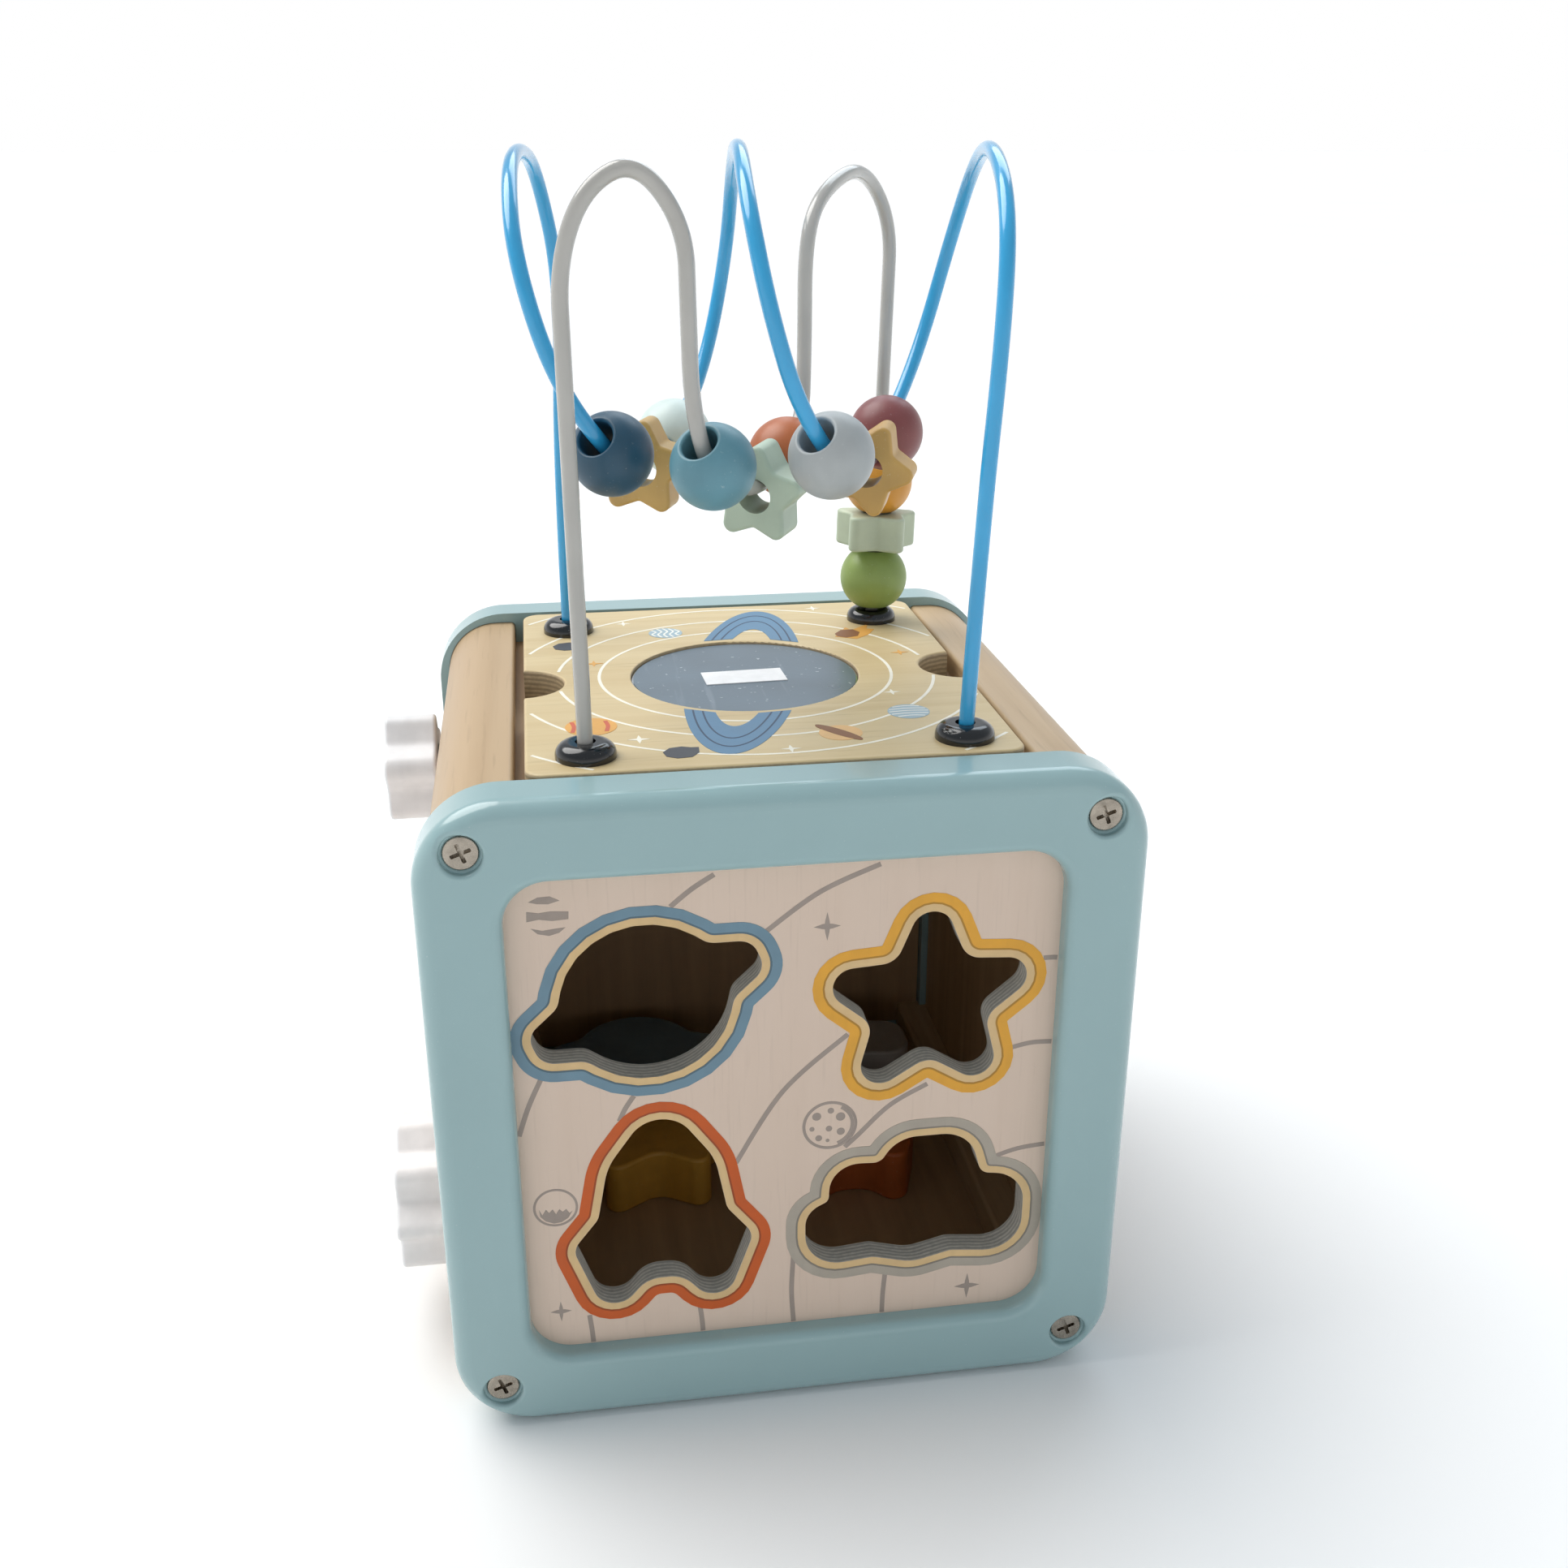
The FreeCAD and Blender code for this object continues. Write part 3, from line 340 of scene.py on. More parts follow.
def dress_all():
    duck_egg = moulded_plastic("duck_egg_plastic", srgb(148, 177, 179), 0.2, 0.02)
    black = moulded_plastic("black_plastic", srgb(16, 17, 20), 0.16, 0.2)
    nickel = bright_metal("nickel", (0.42, 0.37, 0.31, 1), 0.24)
    steel = bright_metal("nut_steel", (0.55, 0.55, 0.55, 1), 0.35)
    mirror = bright_metal("mirror_edge", (0.82, 0.85, 0.88, 1), 0.12)
    rail = plain_wood("rail_wood", srgb(178, 146, 108), srgb(132, 100, 68), "Y", 0.6)
    dowel = plain_wood("dowel_wood", srgb(205, 176, 138), srgb(166, 132, 96), "X", 0.5, rings=30)
    alike = {
        "front_frame": duck_egg, "back_frame": duck_egg, "front_screws": nickel, "back_screws": nickel,
        "wire_nuts": steel, "blue_wire": steel, "grey_wire": steel, "mirror_disc": mirror,
        "mirror_film": film_material(), "film_label": ink("label_paper", srgb(238, 238, 238), 0.6),
        "left_lid_rail": rail, "right_lid_rail": rail,
    }
    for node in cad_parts:
        if node.startswith("grommet_") or node.endswith("_spacer"):
            alike[node] = black
        elif node.endswith("_axle") or node.endswith("_retainer"):
            alike[node] = dowel
    for node, material in alike.items():
        dress(node, material)

    post_light, post_dark = srgb(194, 166, 128), srgb(156, 124, 86)
    posts = "left_top_post", "right_top_post", "left_bottom_post", "right_bottom_post"
    for number, node in enumerate(posts):
        shift = (0.13 * number, 0.07 * number, 0.2 * number)
        dress(node, plain_wood("post_wood_%d" % number, post_light, post_dark, "Y", shift=shift,
                               knots=node == "left_top_post"))

    peach = srgb(216, 194, 176), srgb(204, 180, 160)
    for side, outside in (("sorter", "-Y"), ("back", "+Y"), ("left", "-X"), ("right", "+X")):
        dress(side + "_panel", printed_ply(side + "_print", *peach, "Z", outside))
    birch = srgb(212, 192, 148), srgb(190, 164, 116)
    dress("bottom_panel", printed_ply("bottom_ply", *birch, "Y", "-Z"))
    dress("lid_panel", printed_ply("lid_print", *birch, "X", "+Z", raw=(196, 170, 130),
                                   cut=(190, 168, 132), figure=0.6))

    for number, (node, colour) in enumerate(PAINTS.items()):
        shift = (0.11 * number, 0.05 * number, 0)
        dress(node, painted_wood(node + "_paint", srgb(*colour), shift))


# ---------------------------------------------------------------- printed art as thin ink

def on_sorter(x, z, out):
    """A point of the sorter panel, in millimetres from its centre, out in front of its face."""
    return (PANEL_X + x * MM, PANEL_FACE - out, PANEL_Z + z * MM)


def on_lid(x, y, out):
    """A point of the lid's top, in millimetres from the mirror's centre, out above it."""
    return (PANEL_X + x * MM, y * MM, LID_TOP + out)


# What a printed surface rides on, its slot, and where its points go
SORTER = "cube", "sorter_print", on_sorter
LID = "lid", "lid_wood", on_lid


class Ink:
    """Flat printed shapes gathered into one mesh of thin closed slabs."""

    def __init__(self, name, surface, material, height):
        self.name, self.material, self.height = name, material, height
        self.body, self.slot, self.place = surface
        self.points, self.faces = [], []

    def strip(self, first, second, closed=False):
        """A closed slab between two rows of points: its top, its underside and its walls."""
        count = len(first)
        start = len(self.points)
        for out in (self.height, -INK_DEEP):
            for row in (first, second):
                self.points += [self.place(x, y, out) for x, y in row]

        def at(row, i):
            return start + row * count + i % count

        last = count if closed else count - 1
        for i in range(last):
            for low, high in ((0, 1), (1, 3), (3, 2), (2, 0)):
                self.faces.append((at(low, i), at(low, i + 1), at(high, i + 1), at(high, i)))
        if not closed:
            for i in (0, count - 1):
                self.faces.append((at(0, i), at(1, i), at(3, i), at(2, i)))

    def area(self, outline):
        """A filled slab inside one outline."""
        count, start = len(outline), len(self.points)
        for out in (self.height, -INK_DEEP):
            self.points += [self.place(x, y, out) for x, y in outline]
        self.faces.append(tuple(range(start, start + count)))
        self.faces.append(tuple(range(start + count, start + 2 * count)))
        for i in range(count):
            j = (i + 1) % count
            self.faces.append((start + i, start + j, start + count + j, start + count + i))

    def line(self, points, width):
        """A line of even width through a few points."""
        path = smooth(points)
        left, right = [], []
        for i, (x, y) in enumerate(path):
            ahead, behind = path[min(i + 1, len(path) - 1)], path[max(i - 1, 0)]
            run = Vector((ahead[0] - behind[0], ahead[1] - behind[1])).normalized() * (width / 2)
            left.append((x - run.y, y + run.x))
            right.append((x + run.y, y - run.x))
        self.strip(left, right)

    def ring(self, x, y, radius, width, start=0, finish=360):
        """Part or all of a circle's line, by angle in degrees, with a point about every 4."""
        whole = finish - start >= 360
        count = max(8, int((finish - start) / 4))
        angles = [math.radians(start + (finish - start) * i / count)
                  for i in range(count + (0 if whole else 1))]
        rows = [[(x + r * math.cos(a), y + r * math.sin(a)) for a in angles]
                for r in (radius + width / 2, radius - width / 2)]
        self.strip(*rows, closed=whole)

    def disc(self, x, y, radius):
        self.area(oval(x, y, radius, radius))

    def sparkle(self, x, y, radius, squeeze=1):
        """A four-pointed star with hollow sides."""
        reaches = 1, 0.42, 0.26, 0.42       # tip, side, hollow, side, as parts of the radius
        outline = []
        for i in range(16):
            angle = math.pi / 2 * (i / 4)
            reach = radius * reaches[i % 4]
            outline.append((x + reach * squeeze * math.cos(angle), y + reach * math.sin(angle)))
        self.area(outline)

    def done(self):
        mesh = bpy.data.meshes.new(self.name)
        mesh.from_pydata(self.points, [], self.faces)
        made = bmesh.new()
        made.from_mesh(mesh)
        bmesh.ops.recalc_face_normals(made, faces=made.faces)
        made.to_mesh(mesh)
        made.free()
        mesh.materials.append(self.material)
        obj = bpy.data.objects.new(self.name, mesh)
        bpy.context.scene.collection.objects.link(obj)
        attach(obj, self.body)


def oval(x, y, a, b, tilt=0):
    """Points round an ellipse with half-axes a and b, tilted by an angle in degrees."""
    c, s = math.cos(math.radians(tilt)), math.sin(math.radians(tilt))
    turned = []
    for i in range(OVAL_POINTS):
        angle = 2 * math.pi * i / OVAL_POINTS
        u, v = a * math.cos(angle), b * math.sin(angle)
        turned.append((x + u * c - v * s, y + u * s + v * c))
    return turned


def smooth(points):
    """More points on a curve through the given ones."""
    path = []
    ends = [points[0]] + list(points) + [points[-1]]
    for a, b, c, d in zip(ends, ends[1:], ends[2:], ends[3:]):
        for i in range(CURVE_STEPS):
            f = i / CURVE_STEPS
            weights = (-f + 2 * f * f - f ** 3, 2 - 5 * f * f + 3 * f ** 3,
                       f + 4 * f * f - 3 * f ** 3, f ** 3 - f * f)
            path.append(tuple(0.5 * sum(w * p[k] for w, p in zip(weights, (a, b, c, d)))
                              for k in (0, 1)))
    path.append(tuple(points[-1]))
    return path


# The sorter holes, as (x, z, corner radius) in millimetres about the panel's centre
PLANET = [(0, 35.2, 19.1), (17.9, 7.5, 5), (26.9, 3.9, 4.5), (26.9, -3.9, 4.5), (17.9, -7.5, 5)]
PLANET_TILT, PLANET_AT = 21.7, (-31.9, 29.4)
STAR_TIP, STAR_VALLEY, STAR_AT = (31.4, 4.8), (13.8, 5), (32.1, 23.7)
ROCKET_HALF = [(12.4, -12.5, 16), (15, -26.5, 5), (21.2, -34.5, 4.5), (13.6, -55.8, 5.2),
               (4.2, -44.6, 7)]
ROCKET_NOSE, ROCKET_X = (0, 5, 8), -29.8
CLOUD = [(25.5, -11.4, 8.6), (42.8, -11.4, 8.6), (46.2, -23.2, 3), (57, -24.6, 8.5), (57, -46.8, 8.5),
         (39.5, -44.8, 4), (30, -47.2, 10), (20.3, -44.6, 4), (3.8, -46.2, 8.5), (3.8, -30, 6),
         (9.3, -27.4, 2), (9.8, -17.2, 7), (21.6, -17.8, 3)]
RIM_NEAR = 0.05                     # the bare rim starts this far outside the hole's edge
BAND_NEAR, BAND_FAR = 1.9, 4.65     # the coloured band, from the hole's edge outward
INNER_GROOVE_SHADE = 0.45                   # painted shade: a darker strip standing for the groove along the band's inner side
LEAST_RADIUS = 0.4                  # left at a corner that tightens as its outline moves


def hole_shapes():
    """Each hole's corners by name, as (x, z, corner radius)."""
    c, s = math.cos(math.radians(PLANET_TILT)), math.sin(math.radians(PLANET_TILT))
    both = PLANET + [(-x, -z, r) for x, z, r in PLANET]
    planet = [(x * c - z * s + PLANET_AT[0], x * s + z * c + PLANET_AT[1], r) for x, z, r in both]
    star = []
    for i in range(10):
        reach, r = STAR_TIP if i % 2 == 0 else STAR_VALLEY
        angle = math.pi / 2 - i * math.pi / 5
        star.append((STAR_AT[0] + reach * math.cos(angle), STAR_AT[1] + reach * math.sin(angle), r))
    rocket = [ROCKET_NOSE] + ROCKET_HALF + [(-x, z, r) for x, z, r in reversed(ROCKET_HALF)]
    rocket = [(x + ROCKET_X, z, r) for x, z, r in rocket]
    return {"planet": planet, "star": star, "rocket": rocket, "cloud": CLOUD}


def outline_at(corners, out):
    """The outline's points, moved outward by out: a fan of points round every corner."""
    points = [Vector((x, z)) for x, z, r in corners]
    count = len(points)
    area = sum(a.x * b.y - b.x * a.y for a, b in zip(points, points[1:] + points[:1]))
    side = 1 if area > 0 else -1
    runs, turns, moved, reach = [], [], [], []
    for i, (_, _, r) in enumerate(corners):
        before = (points[i] - points[i - 1]).normalized()
        after = (points[(i + 1) % count] - points[i]).normalized()
        turn = math.atan2(before.x * after.y - before.y * after.x, before.dot(after))
        radius = max(r + (out if turn * side > 0 else -out), LEAST_RADIUS)
        away = Vector((before.y, -before.x)) * side
        moved.append(points[i] + away * out + before * (side * out * math.tan(turn / 2)))
        runs.append(before)
        turns.append(turn)
        reach.append(radius * math.tan(abs(turn) / 2))
    # Where the arcs of two corners would meet on the run between them, both are cut back
    for i in range(count):
        room = (moved[i] - moved[i - 1]).length
        wanted = reach[i] + reach[i - 1]
        if wanted > room:
            reach[i] *= room / wanted
            reach[i - 1] *= room / wanted
    path = []
    for corner, before, turn, cut in zip(moved, runs, turns, reach):
        radius = cut / math.tan(abs(turn) / 2)
        bend = 1 if turn > 0 else -1
        centre = corner - before * cut + Vector((-before.y, before.x)) * bend * radius
        start = math.atan2(-before.x * bend, before.y * bend)
        for k in range(CORNER_POINTS):
            angle = start + turn * k / (CORNER_POINTS - 1)
            path.append((centre.x + radius * math.cos(angle), centre.y + radius * math.sin(angle)))
    return path


# Each hole's printed colour
HOLE_COLOURS = {"planet": (106, 136, 152), "star": (222, 160, 46), "rocket": (196, 84, 8),
                "cloud": (170, 160, 146)}
ORBIT_LINE = 1.15
MOON = 9.4, -6.3
CRATERS = ((6.3, -3.7, 1.05), (9.6, -2.4, 0.75), (5.2, -7, 0.6), (9.2, -7.2, 0.75),
           (11.9, -4.2, 1.1), (12, -8.2, 0.95), (6.8, -9.6, 0.8), (8.9, -10.4, 0.45))


def print_hole(name, corners):
    """The printed band round a hole, a darker strip of the band's colour along its inner side as
    painted shade of the groove there, and the bare rim.
    """
    colour = srgb(*HOLE_COLOURS[name])
    middle = BAND_NEAR + INNER_GROOVE_SHADE
    band_ink = ink(name + "_ink", colour)
    # Painted shade: the groove between band and rim is drawn as flat raised ink in the band's colour,
    # darkened
    groove_shade_ink = ink(name + "_groove_shade_ink", shade(colour, 0.55))
    rim_wood = ink(name + "_rim_wood", srgb(214, 182, 132), 0.6)
    for part, material, height, far, near in (
            ("_band", band_ink, BAND_INK, BAND_FAR, middle),
            # the groove's painted shade, as a darker strip
            ("_edge", groove_shade_ink, BAND_INK, middle, BAND_NEAR),
            ("_rim", rim_wood, LINE_INK / 2, BAND_NEAR, RIM_NEAR)):
        strip = Ink(name + part, SORTER, material, height)
        strip.strip(outline_at(corners, far), outline_at(corners, near), closed=True)
        strip.done()


def print_sorter():
    for name, corners in hole_shapes().items():
        print_hole(name, corners)
    art = Ink("sorter_lines", SORTER, ink("sorter_line_ink", srgb(156, 142, 132)), LINE_INK)
    orbits = [
        [(-16.5, 59.4), (-21.5, 56.2), (-26.1, 52.4)], [(-55.9, 12.1), (-59, 5.2), (-61.5, -2.2)],
        [(20, 59.4), (6.6, 53.6), (-5.2, 45)], [(-35.5, 5.9), (-37.5, 2.8), (-39, -0.4)],
        [(-48, -53.5), (-47.6, -57.9), (-47.4, -61.4)], [(13.3, 17.5), (-1.5, 4), (-12.6, -14.4)],
        [(-21.8, -53.2), (-21.3, -57.9), (-21.1, -61.4)],
        [(32.2, 2.7), (23.5, -2.2), (16, -9.7), (13, -12.6)],
        [(0.9, -42.2), (0.5, -52.2), (1, -61.4)], [(51.8, 10.6), (56.6, 11.5), (61.4, 11.4)],
        [(49.1, -19), (54.8, -17.3), (61.4, -16.6)], [(23.4, -50.2), (23, -56), (22.9, -61.4)],
        [(58.2, 33.4), (59.8, 33.4), (61.4, 33.3)],
    ]
    for orbit in orbits:
        art.line(orbit, ORBIT_LINE)
    art.sparkle(8.3, 45.1, 3.5, 0.85)
    art.sparkle(-54.6, -51.6, 2.9, 0.85)
    art.sparkle(44.1, -56, 3.7, 0.85)
    art.ring(*MOON, 6.1, 0.7)
    art.ring(*MOON, 5.3, 0.8, -70, 60)
    for crater in CRATERS:
        art.disc(*crater)
    # A small planet whose lower half drips
    art.ring(-54.4, -22.2, 4.85, 0.55)
    dripping = []
    for i in range(5):
        dripping += [(-58.2 + 1.55 * i, -22.4 - 0.1 * i), (-57.5 + 1.55 * i, -24 + 0.5 * (i % 2))]
    dripping += [(-50.6, -23.4), (-51.6, -25.2), (-53.2, -26.3), (-55, -26.5), (-56.8, -25.7),
                 (-58, -24.3)]
    art.area(dripping)
    # Three uneven bands near the top left corner
    art.area([(-56.2, 55.6), (-54.2, 56.6), (-51.6, 56.7), (-49.6, 55.6), (-52, 54.9), (-54.4, 55.1)])
    art.area([(-56.7, 53.4), (-54.2, 52.9), (-51.6, 53.2), (-47.8, 52.9), (-47.9, 51.1), (-51.4, 50.9),
              (-54.2, 51.4), (-56.8, 51)])
    art.area([(-56, 49.4), (-53.6, 48.7), (-50.8, 49), (-48.6, 49.2), (-50, 48), (-52.2, 47.4),
              (-54.6, 48)])
    art.done()


RINGS = (37, 47.6, 59.3, 75.4)      # orbit rings on the lid, about its printed centre
RINGS_AT = 0.3, 0.8
RING_WIDTH = 0.8
SHORTEST_RING = 3                   # degrees of ring that are too short to print
EDGE_CLEAR = 1.4                    # bare wood between a ring and the lid's edge
LID_CORNER, CORNER_REACH = 5, 4     # the square at a corner, and how far into it rings may reach
NOTCH_OUT, NOTCH_RADIUS = 1, 11     # a finger notch's centre, out past the lid's side
BEHIND_MIRROR = 30.8                # where the slanted ring stops, at the bare rim round the mirror
SLANT = -10.8                       # how far the slanted ring leans, in degrees
SLANTED_BAND = (58.2, 14.6), (40, 7.8)      # its outer and inner ellipse: half-lengths along, across
SLANTED_LINES = (53.4, 12.6), (48, 10.4)    # the lines drawn on it
LINE_ALONG, LINE_ACROSS = 0.3, 0.25         # half their width, at the tips and at the sides
SLANTED_POINTS = 41


def lid_ink(name, colour, height):
    return Ink(name, LID, ink(name + "_ink", srgb(*colour)), height)


def inside_lid(x, y):
    """Whether a point is on the lid's face, clear of its edges, rounded corners and notches."""
    to_side = (lid_high.x - lid_low.x) / 2 / MM - abs(x)
    to_end = lid_high.y / MM - abs(y)
    if to_side < EDGE_CLEAR or to_end < EDGE_CLEAR:
        return False
    if to_side < LID_CORNER and to_end < LID_CORNER:
        if math.hypot(LID_CORNER - to_side, LID_CORNER - to_end) > CORNER_REACH:
            return False
    return math.hypot(to_side + NOTCH_OUT, y) > NOTCH_RADIUS + EDGE_CLEAR


def print_orbits():
    """The orbit rings, drawn only where they lie on the lid, and white sparkles between them."""
    white = lid_ink("lid_orbits", (238, 233, 218), LINE_INK)
    for radius in RINGS:
        run = []
        for degree in range(362):
            angle = math.radians(degree)
            x = RINGS_AT[0] + radius * math.cos(angle)
            y = RINGS_AT[1] + radius * math.sin(angle)
            if degree < 361 and inside_lid(x, y):
                run.append(degree)
                continue
            if len(run) > SHORTEST_RING:
                white.ring(*RINGS_AT, radius, RING_WIDTH, run[0], run[-1])
            run = []
    for x, y, radius in ((-27.8, 50.1, 2.2), (27.2, 58.2, 2.4), (33.8, -20.1, 2.2),
                         (-29.8, -44.8, 2.7), (3.2, -55.8, 2.4)):
        white.sparkle(x, y, radius)
    white.done()


def slanted_end(long, wide, top):
    """One end of a slanted ellipse, as far as the bare rim round the mirror."""
    lean = math.radians(SLANT)
    limit = math.acos(math.sqrt((BEHIND_MIRROR ** 2 - wide ** 2) / (long ** 2 - wide ** 2)))
    path = []
    for i in range(SLANTED_POINTS):
        f = limit * (2 * i / (SLANTED_POINTS - 1) - 1)
        u, v = wide * math.sin(f), long * math.cos(f) * (1 if top else -1)
        path.append((u * math.cos(lean) - v * math.sin(lean), u * math.sin(lean) + v * math.cos(lean)))
    return path


def print_slanted_ring():
    """The slanted ring that passes behind the mirror, and two lines on it."""
    blue = lid_ink("lid_planet_ring", (92, 130, 160), BAND_INK)
    navy = lid_ink("lid_ring_lines", (52, 72, 98), DETAIL_INK)
    outer, inner = SLANTED_BAND
    for top in (True, False):
        blue.strip(slanted_end(*outer, top), slanted_end(*inner, top))
        for long, wide in SLANTED_LINES:
            navy.strip(slanted_end(long + LINE_ALONG, wide + LINE_ACROSS, top),
                       slanted_end(long - LINE_ALONG, wide - LINE_ACROSS, top))
    blue.done()
    navy.done()


def print_small_art():
    """Sparkles, rocks and small planets, in millimetres from the mirror's centre."""
    ochre = lid_ink("lid_ochre", (216, 160, 78), BAND_INK)
    ochre.sparkle(42.8, 12.1, 2.4)
    ochre.sparkle(-37.5, 14, 2.4)
    ochre.area([(28.6, 29), (33, 37.4), (34, 34.4), (39.6, 39.6), (38.6, 35.2), (40.6, 34.6),
                (38, 29.6), (34, 26)])
    ochre.disc(-40.2, -34.7, 6)
    ochre.done()
    brown = lid_ink("lid_brown", (134, 88, 52), DETAIL_INK)
    brown.area([(29, 31.6), (31.2, 34.8), (34.6, 35), (36, 32), (34.8, 28.6), (31.6, 27.4), (29.2, 29)])
    brown.area(oval(15.6, -46.8, 7.2, 1.6, -52))
    brown.done()
    cream = lid_ink("lid_cream", (222, 180, 122), BAND_INK)
    cream.disc(16, -47.2, 5)
    cream.done()
    red = lid_ink("lid_red", (196, 92, 62), DETAIL_INK)
    for x in (-44.6, -42.2, -36.8):
        red.line([(x, -34.7 + 3.6), (x + 0.5, -34.7), (x, -34.7 - 3.6)], 1.0)
    red.done()

    left_planet, right_planet = (-16.9, 39.2), (34.6, -35)
    pale = lid_ink("lid_pale_planets", (158, 180, 190), BAND_INK)
    pale.disc(*left_planet, 4.6)
    pale.disc(*right_planet, 5)
    pale.done()
    stripes = lid_ink("lid_pale_stripes", (232, 232, 224), DETAIL_INK)
    for i in range(-2, 3):
        x, y = left_planet[0] + 1.6 * i, left_planet[1]
        reach = math.sqrt(4.3 ** 2 - (1.6 * i) ** 2)
        stripes.line([(x - 0.5, y + reach), (x + 0.6, y + reach / 3), (x - 0.5, y - reach / 3),
                      (x + 0.3, y - reach)], 0.55)
        x, y = right_planet[0], right_planet[1] + 1.7 * i
        reach = math.sqrt(4.7 ** 2 - (1.7 * i) ** 2)
        stripes.line([(x - reach, y), (x, y + 0.5), (x + reach, y)], 0.5)
    stripes.done()

    rock = ((-4, 0.6), (-2.4, 3), (0.4, 3.7), (2.4, 2.9), (4.2, 2.8), (4, -0.6), (2.2, -3.2),
            (-1, -3.6), (-3.4, -2.2))
    dark = lid_ink("lid_rocks", (70, 72, 78), BAND_INK)
    for x, y in ((-21.2, -54.6), (-43.7, 30.4)):
        dark.area([(x + across, y + up) for across, up in rock])
    dark.done()


def print_lid():
    print_orbits()
    print_slanted_ring()
    print_small_art()


# ---------------------------------------------------------------- bead wires

# Where the wires turn, in millimetres about the cube's own axis. A few turns are moved off the
# CAD's, so that the smooth curve stays in the beads' bores.
BLUE_TURNS = [(-43, 45, 147), (-43.5, 46, 205), (-40.5, 49, 252), (-45.5, 44, 280), (-49.5, 18, 284.5),
              (-52, -14, 279.5), (-51.5, -32, 262.5), (-44.5, -37, 238), (-32.3, -36, 220.8),
              (-26, -10, 215), (-14.5, 17, 217.5), (-5, 33, 233.5), (1.5, 41, 259.5), (1.5, 25, 281.5),
              (-2.5, -18, 286), (-4.5, -48, 274), (-1, -55, 253), (5, -55.4, 233.9), (15.4, -50, 219.2),
              (26.5, -15, 213.2), (38, 15, 217), (50, 31, 235), (59, 36, 263.5), (60, 18, 282.5),
              (54, -18, 285), (50, -46, 274), (48, -54, 251.5), (44.5, -56, 206.5), (43, -54, 147)]
GREY_TURNS = [(-42, -54, 147), (-42.8, -53.1, 245), (-43, -53, 263), (-37.5, -53, 277),
              (-27, -52, 282.5), (-17.5, -51, 270), (-17.3, -51.2, 254), (-17, -51.5, 234),
              (-13, -50, 219.5), (1, -25.5, 210.8), (13.5, -6, 222), (15, 0, 240), (15, 0, 265),
              (21, 11, 275), (34.5, 32, 280.5), (45, 45, 266.5), (44.4, 45, 246), (41.5, 45, 147)]
WIRE_RADIUS = 1.75
CURVE_ORDER = 3     # low, so that the curve keeps close to its turns


def bent_wire(name, node, turns, material):
    """A coated wire as one smooth curve through its turns, in place of the CAD rod."""
    curve = bpy.data.curves.new(name, "CURVE")
    curve.dimensions = "3D"
    curve.bevel_depth = WIRE_RADIUS * MM
    curve.bevel_resolution = 6
    curve.use_fill_caps = True
    spline = curve.splines.new("NURBS")
    spline.points.add(len(turns) - 1)
    for point, (x, y, z) in zip(spline.points, turns):
        point.co = (PANEL_X + x * MM, y * MM, z * MM, 1)
    spline.order_u = CURVE_ORDER
    spline.use_endpoint_u = True
    spline.resolution_u = 14
    curve.materials.append(material)
    obj = bpy.data.objects.new(name, curve)
    bpy.context.scene.collection.objects.link(obj)
    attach(obj, "lid")
    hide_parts(node)


def bend_wires():
    bent_wire("blue_bead_wire", "blue_wire", BLUE_TURNS,
              coated_wire("blue_coating", srgb(50, 162, 214)))
    bent_wire("grey_bead_wire", "grey_wire", GREY_TURNS,
              coated_wire("grey_coating", srgb(180, 177, 171)))


# ---------------------------------------------------------------- floor, light and camera

FLOOR_HALF = 60                                     # metres, so that the floor meets the sky
HORIZON, OVERHEAD = (1, 1, 1, 1), (0.42, 0.46, 0.5, 1)
HORIZON_TOP, OVERHEAD_FROM = 0.09, 0.4              # as heights on a ball of radius 1

# The camera fitted to the cube's corners in the photo
CAMERA_PLACE = (-0.04207, -0.38876, 0.28526)
CAMERA_TURN = (68.36, 0, -8.65)
CAMERA_LENS, SENSOR_WIDTH = 37.13, 36               # millimetres


def light(name, kind, power, colour, place, target):
    """A light at a place, turned to a target. Returns its data, for its size or angle."""
    data = bpy.data.lights.new(name, kind)
    data.energy = power
    data.color = colour
    obj = bpy.data.objects.new(name, data)
    obj.location = place
    obj.rotation_euler = (Vector(target) - Vector(place)).to_track_quat("-Z", "Y").to_euler()
    bpy.context.scene.collection.objects.link(obj)
    return data


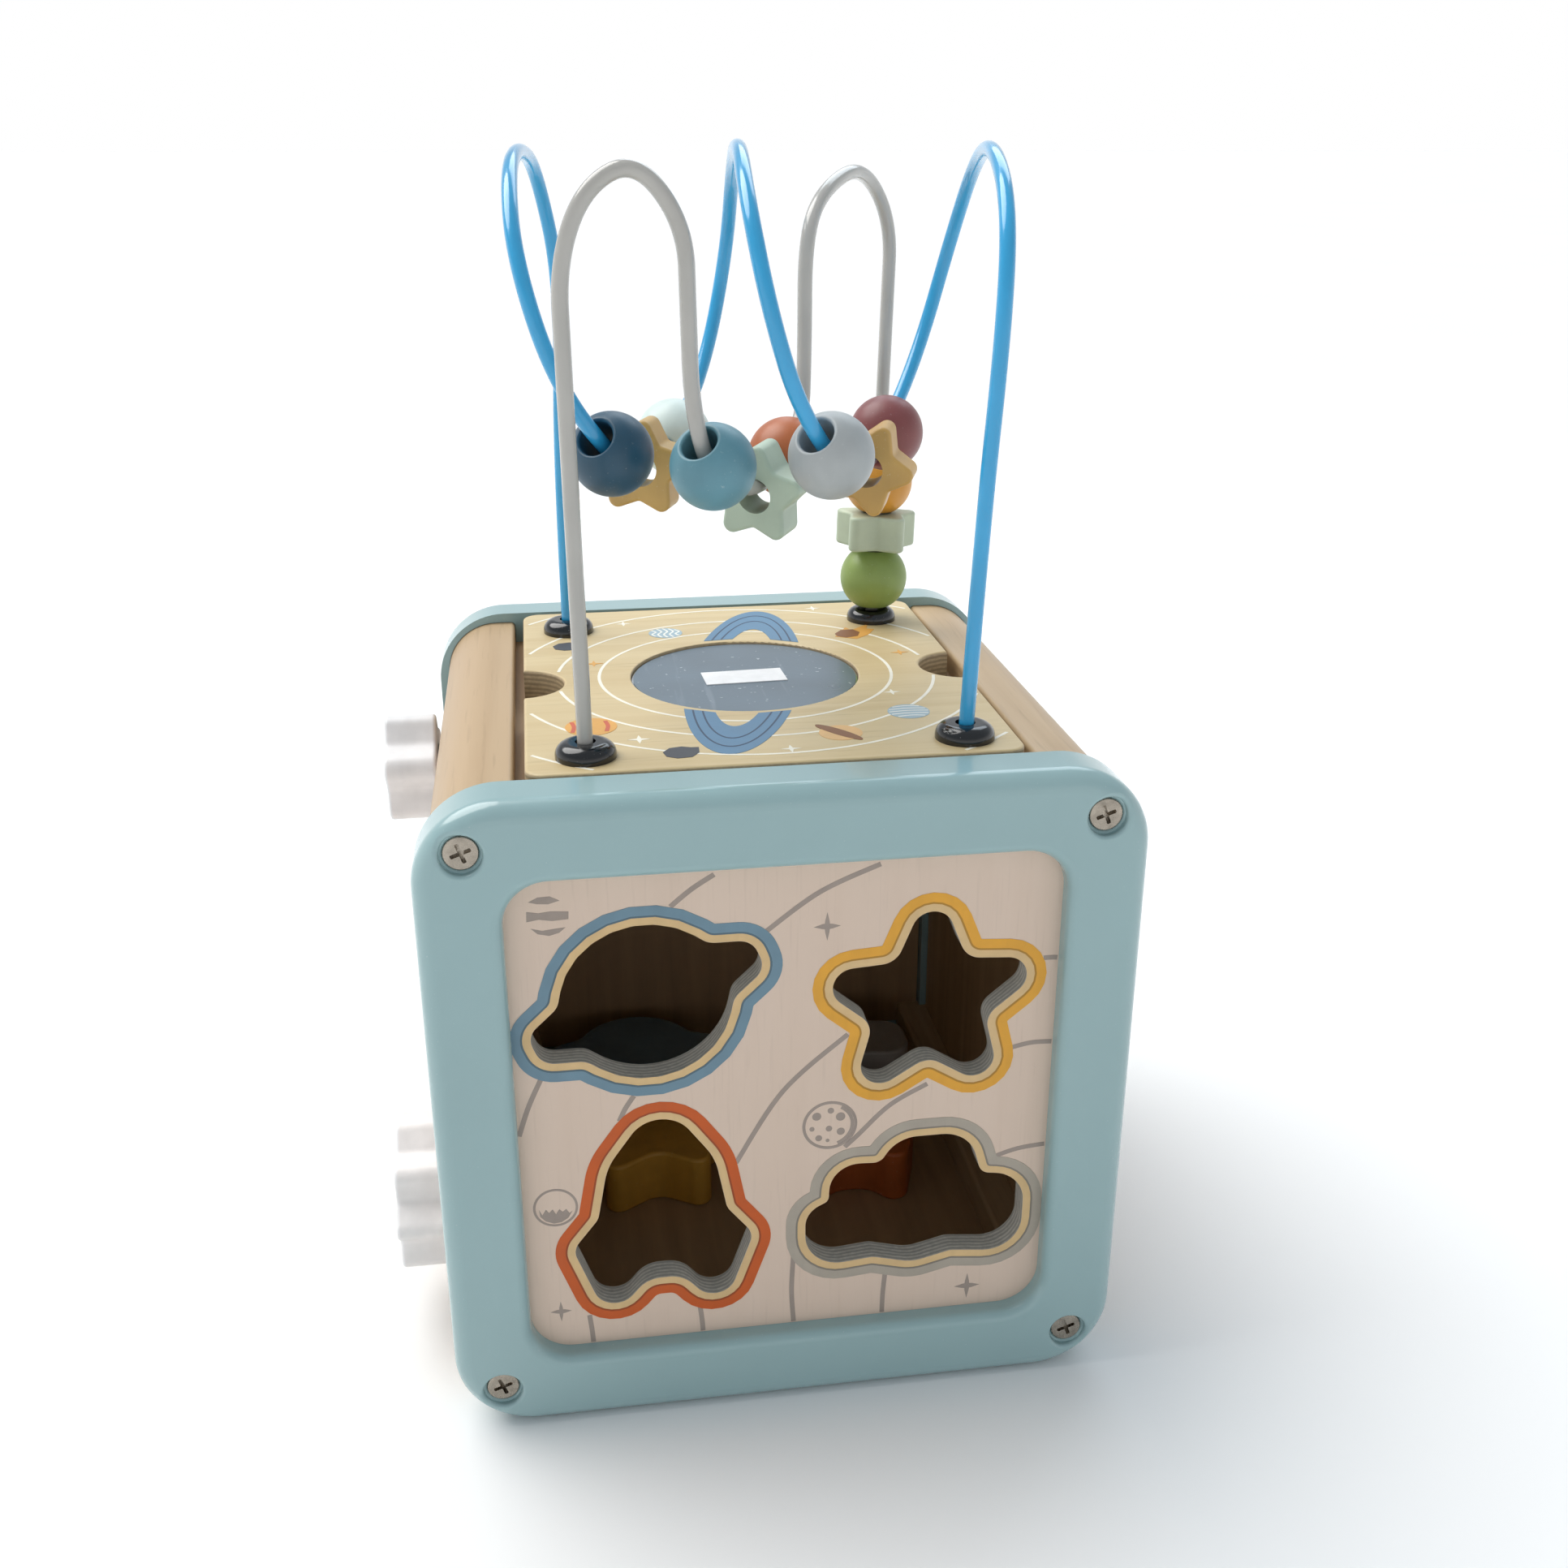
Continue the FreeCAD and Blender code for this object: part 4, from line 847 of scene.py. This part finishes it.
def floor():
    half = FLOOR_HALF
    mesh = bpy.data.meshes.new("studio_floor")
    mesh.from_pydata([(-half, -half, 0), (half, -half, 0), (half, half, 0), (-half, half, 0)],
                     [], [(0, 1, 2, 3)])
    obj = bpy.data.objects.new("studio_floor", mesh)
    m = Nodes("studio_paper", (0.86, 0.86, 0.855, 1), 0.8)
    cloud = m.noise(3, 2)
    m.colour(m.mix(cloud, (0.85, 0.85, 0.845, 1), (0.88, 0.88, 0.875, 1)))
    mesh.materials.append(m.material)
    bpy.context.scene.collection.objects.link(obj)


def sky():
    """White round the horizon, blue-grey overhead."""
    world = bpy.data.worlds.new("studio_world")
    world.use_nodes = True
    tree = world.node_tree
    place = tree.nodes.new("ShaderNodeTexCoord")
    split = tree.nodes.new("ShaderNodeSeparateXYZ")
    ramp = tree.nodes.new("ShaderNodeValToRGB")
    tree.links.new(place.outputs["Generated"], split.inputs[0])
    tree.links.new(split.outputs["Z"], ramp.inputs["Fac"])
    tree.links.new(ramp.outputs["Color"], tree.nodes["Background"].inputs["Color"])
    points = ramp.color_ramp.elements
    points[0].position, points[0].color = HORIZON_TOP, HORIZON
    points[1].position, points[1].color = OVERHEAD_FROM, OVERHEAD
    bpy.context.scene.world = world


def studio():
    """A pale floor and sky, broad light from the back left and a cool light from the back right."""
    floor()
    sky()
    window = light("window_light", "SUN", 2.75, (1, 0.985, 0.96), (0, 0, 0), (0.55, -0.4, -1))
    window.angle = math.radians(50)
    cool = light("sky_light", "AREA", 3, (0.82, 0.92, 1), (0.35, 0.75, 0.9), (0, 0, 0.15))
    cool.shape = "RECTANGLE"
    cool.size, cool.size_y = 0.8, 0.5


def camera():
    data = bpy.data.cameras.new("photo_camera")
    data.sensor_width = SENSOR_WIDTH
    data.lens = CAMERA_LENS
    obj = bpy.data.objects.new("photo_camera", data)
    obj.location = CAMERA_PLACE
    obj.rotation_euler = [math.radians(angle) for angle in CAMERA_TURN]
    bpy.context.scene.collection.objects.link(obj)
    bpy.context.scene.camera = obj


bpy.context.scene.view_settings.view_transform = "Standard"
dress_all()
print_sorter()
print_lid()
bend_wires()
studio()
camera()
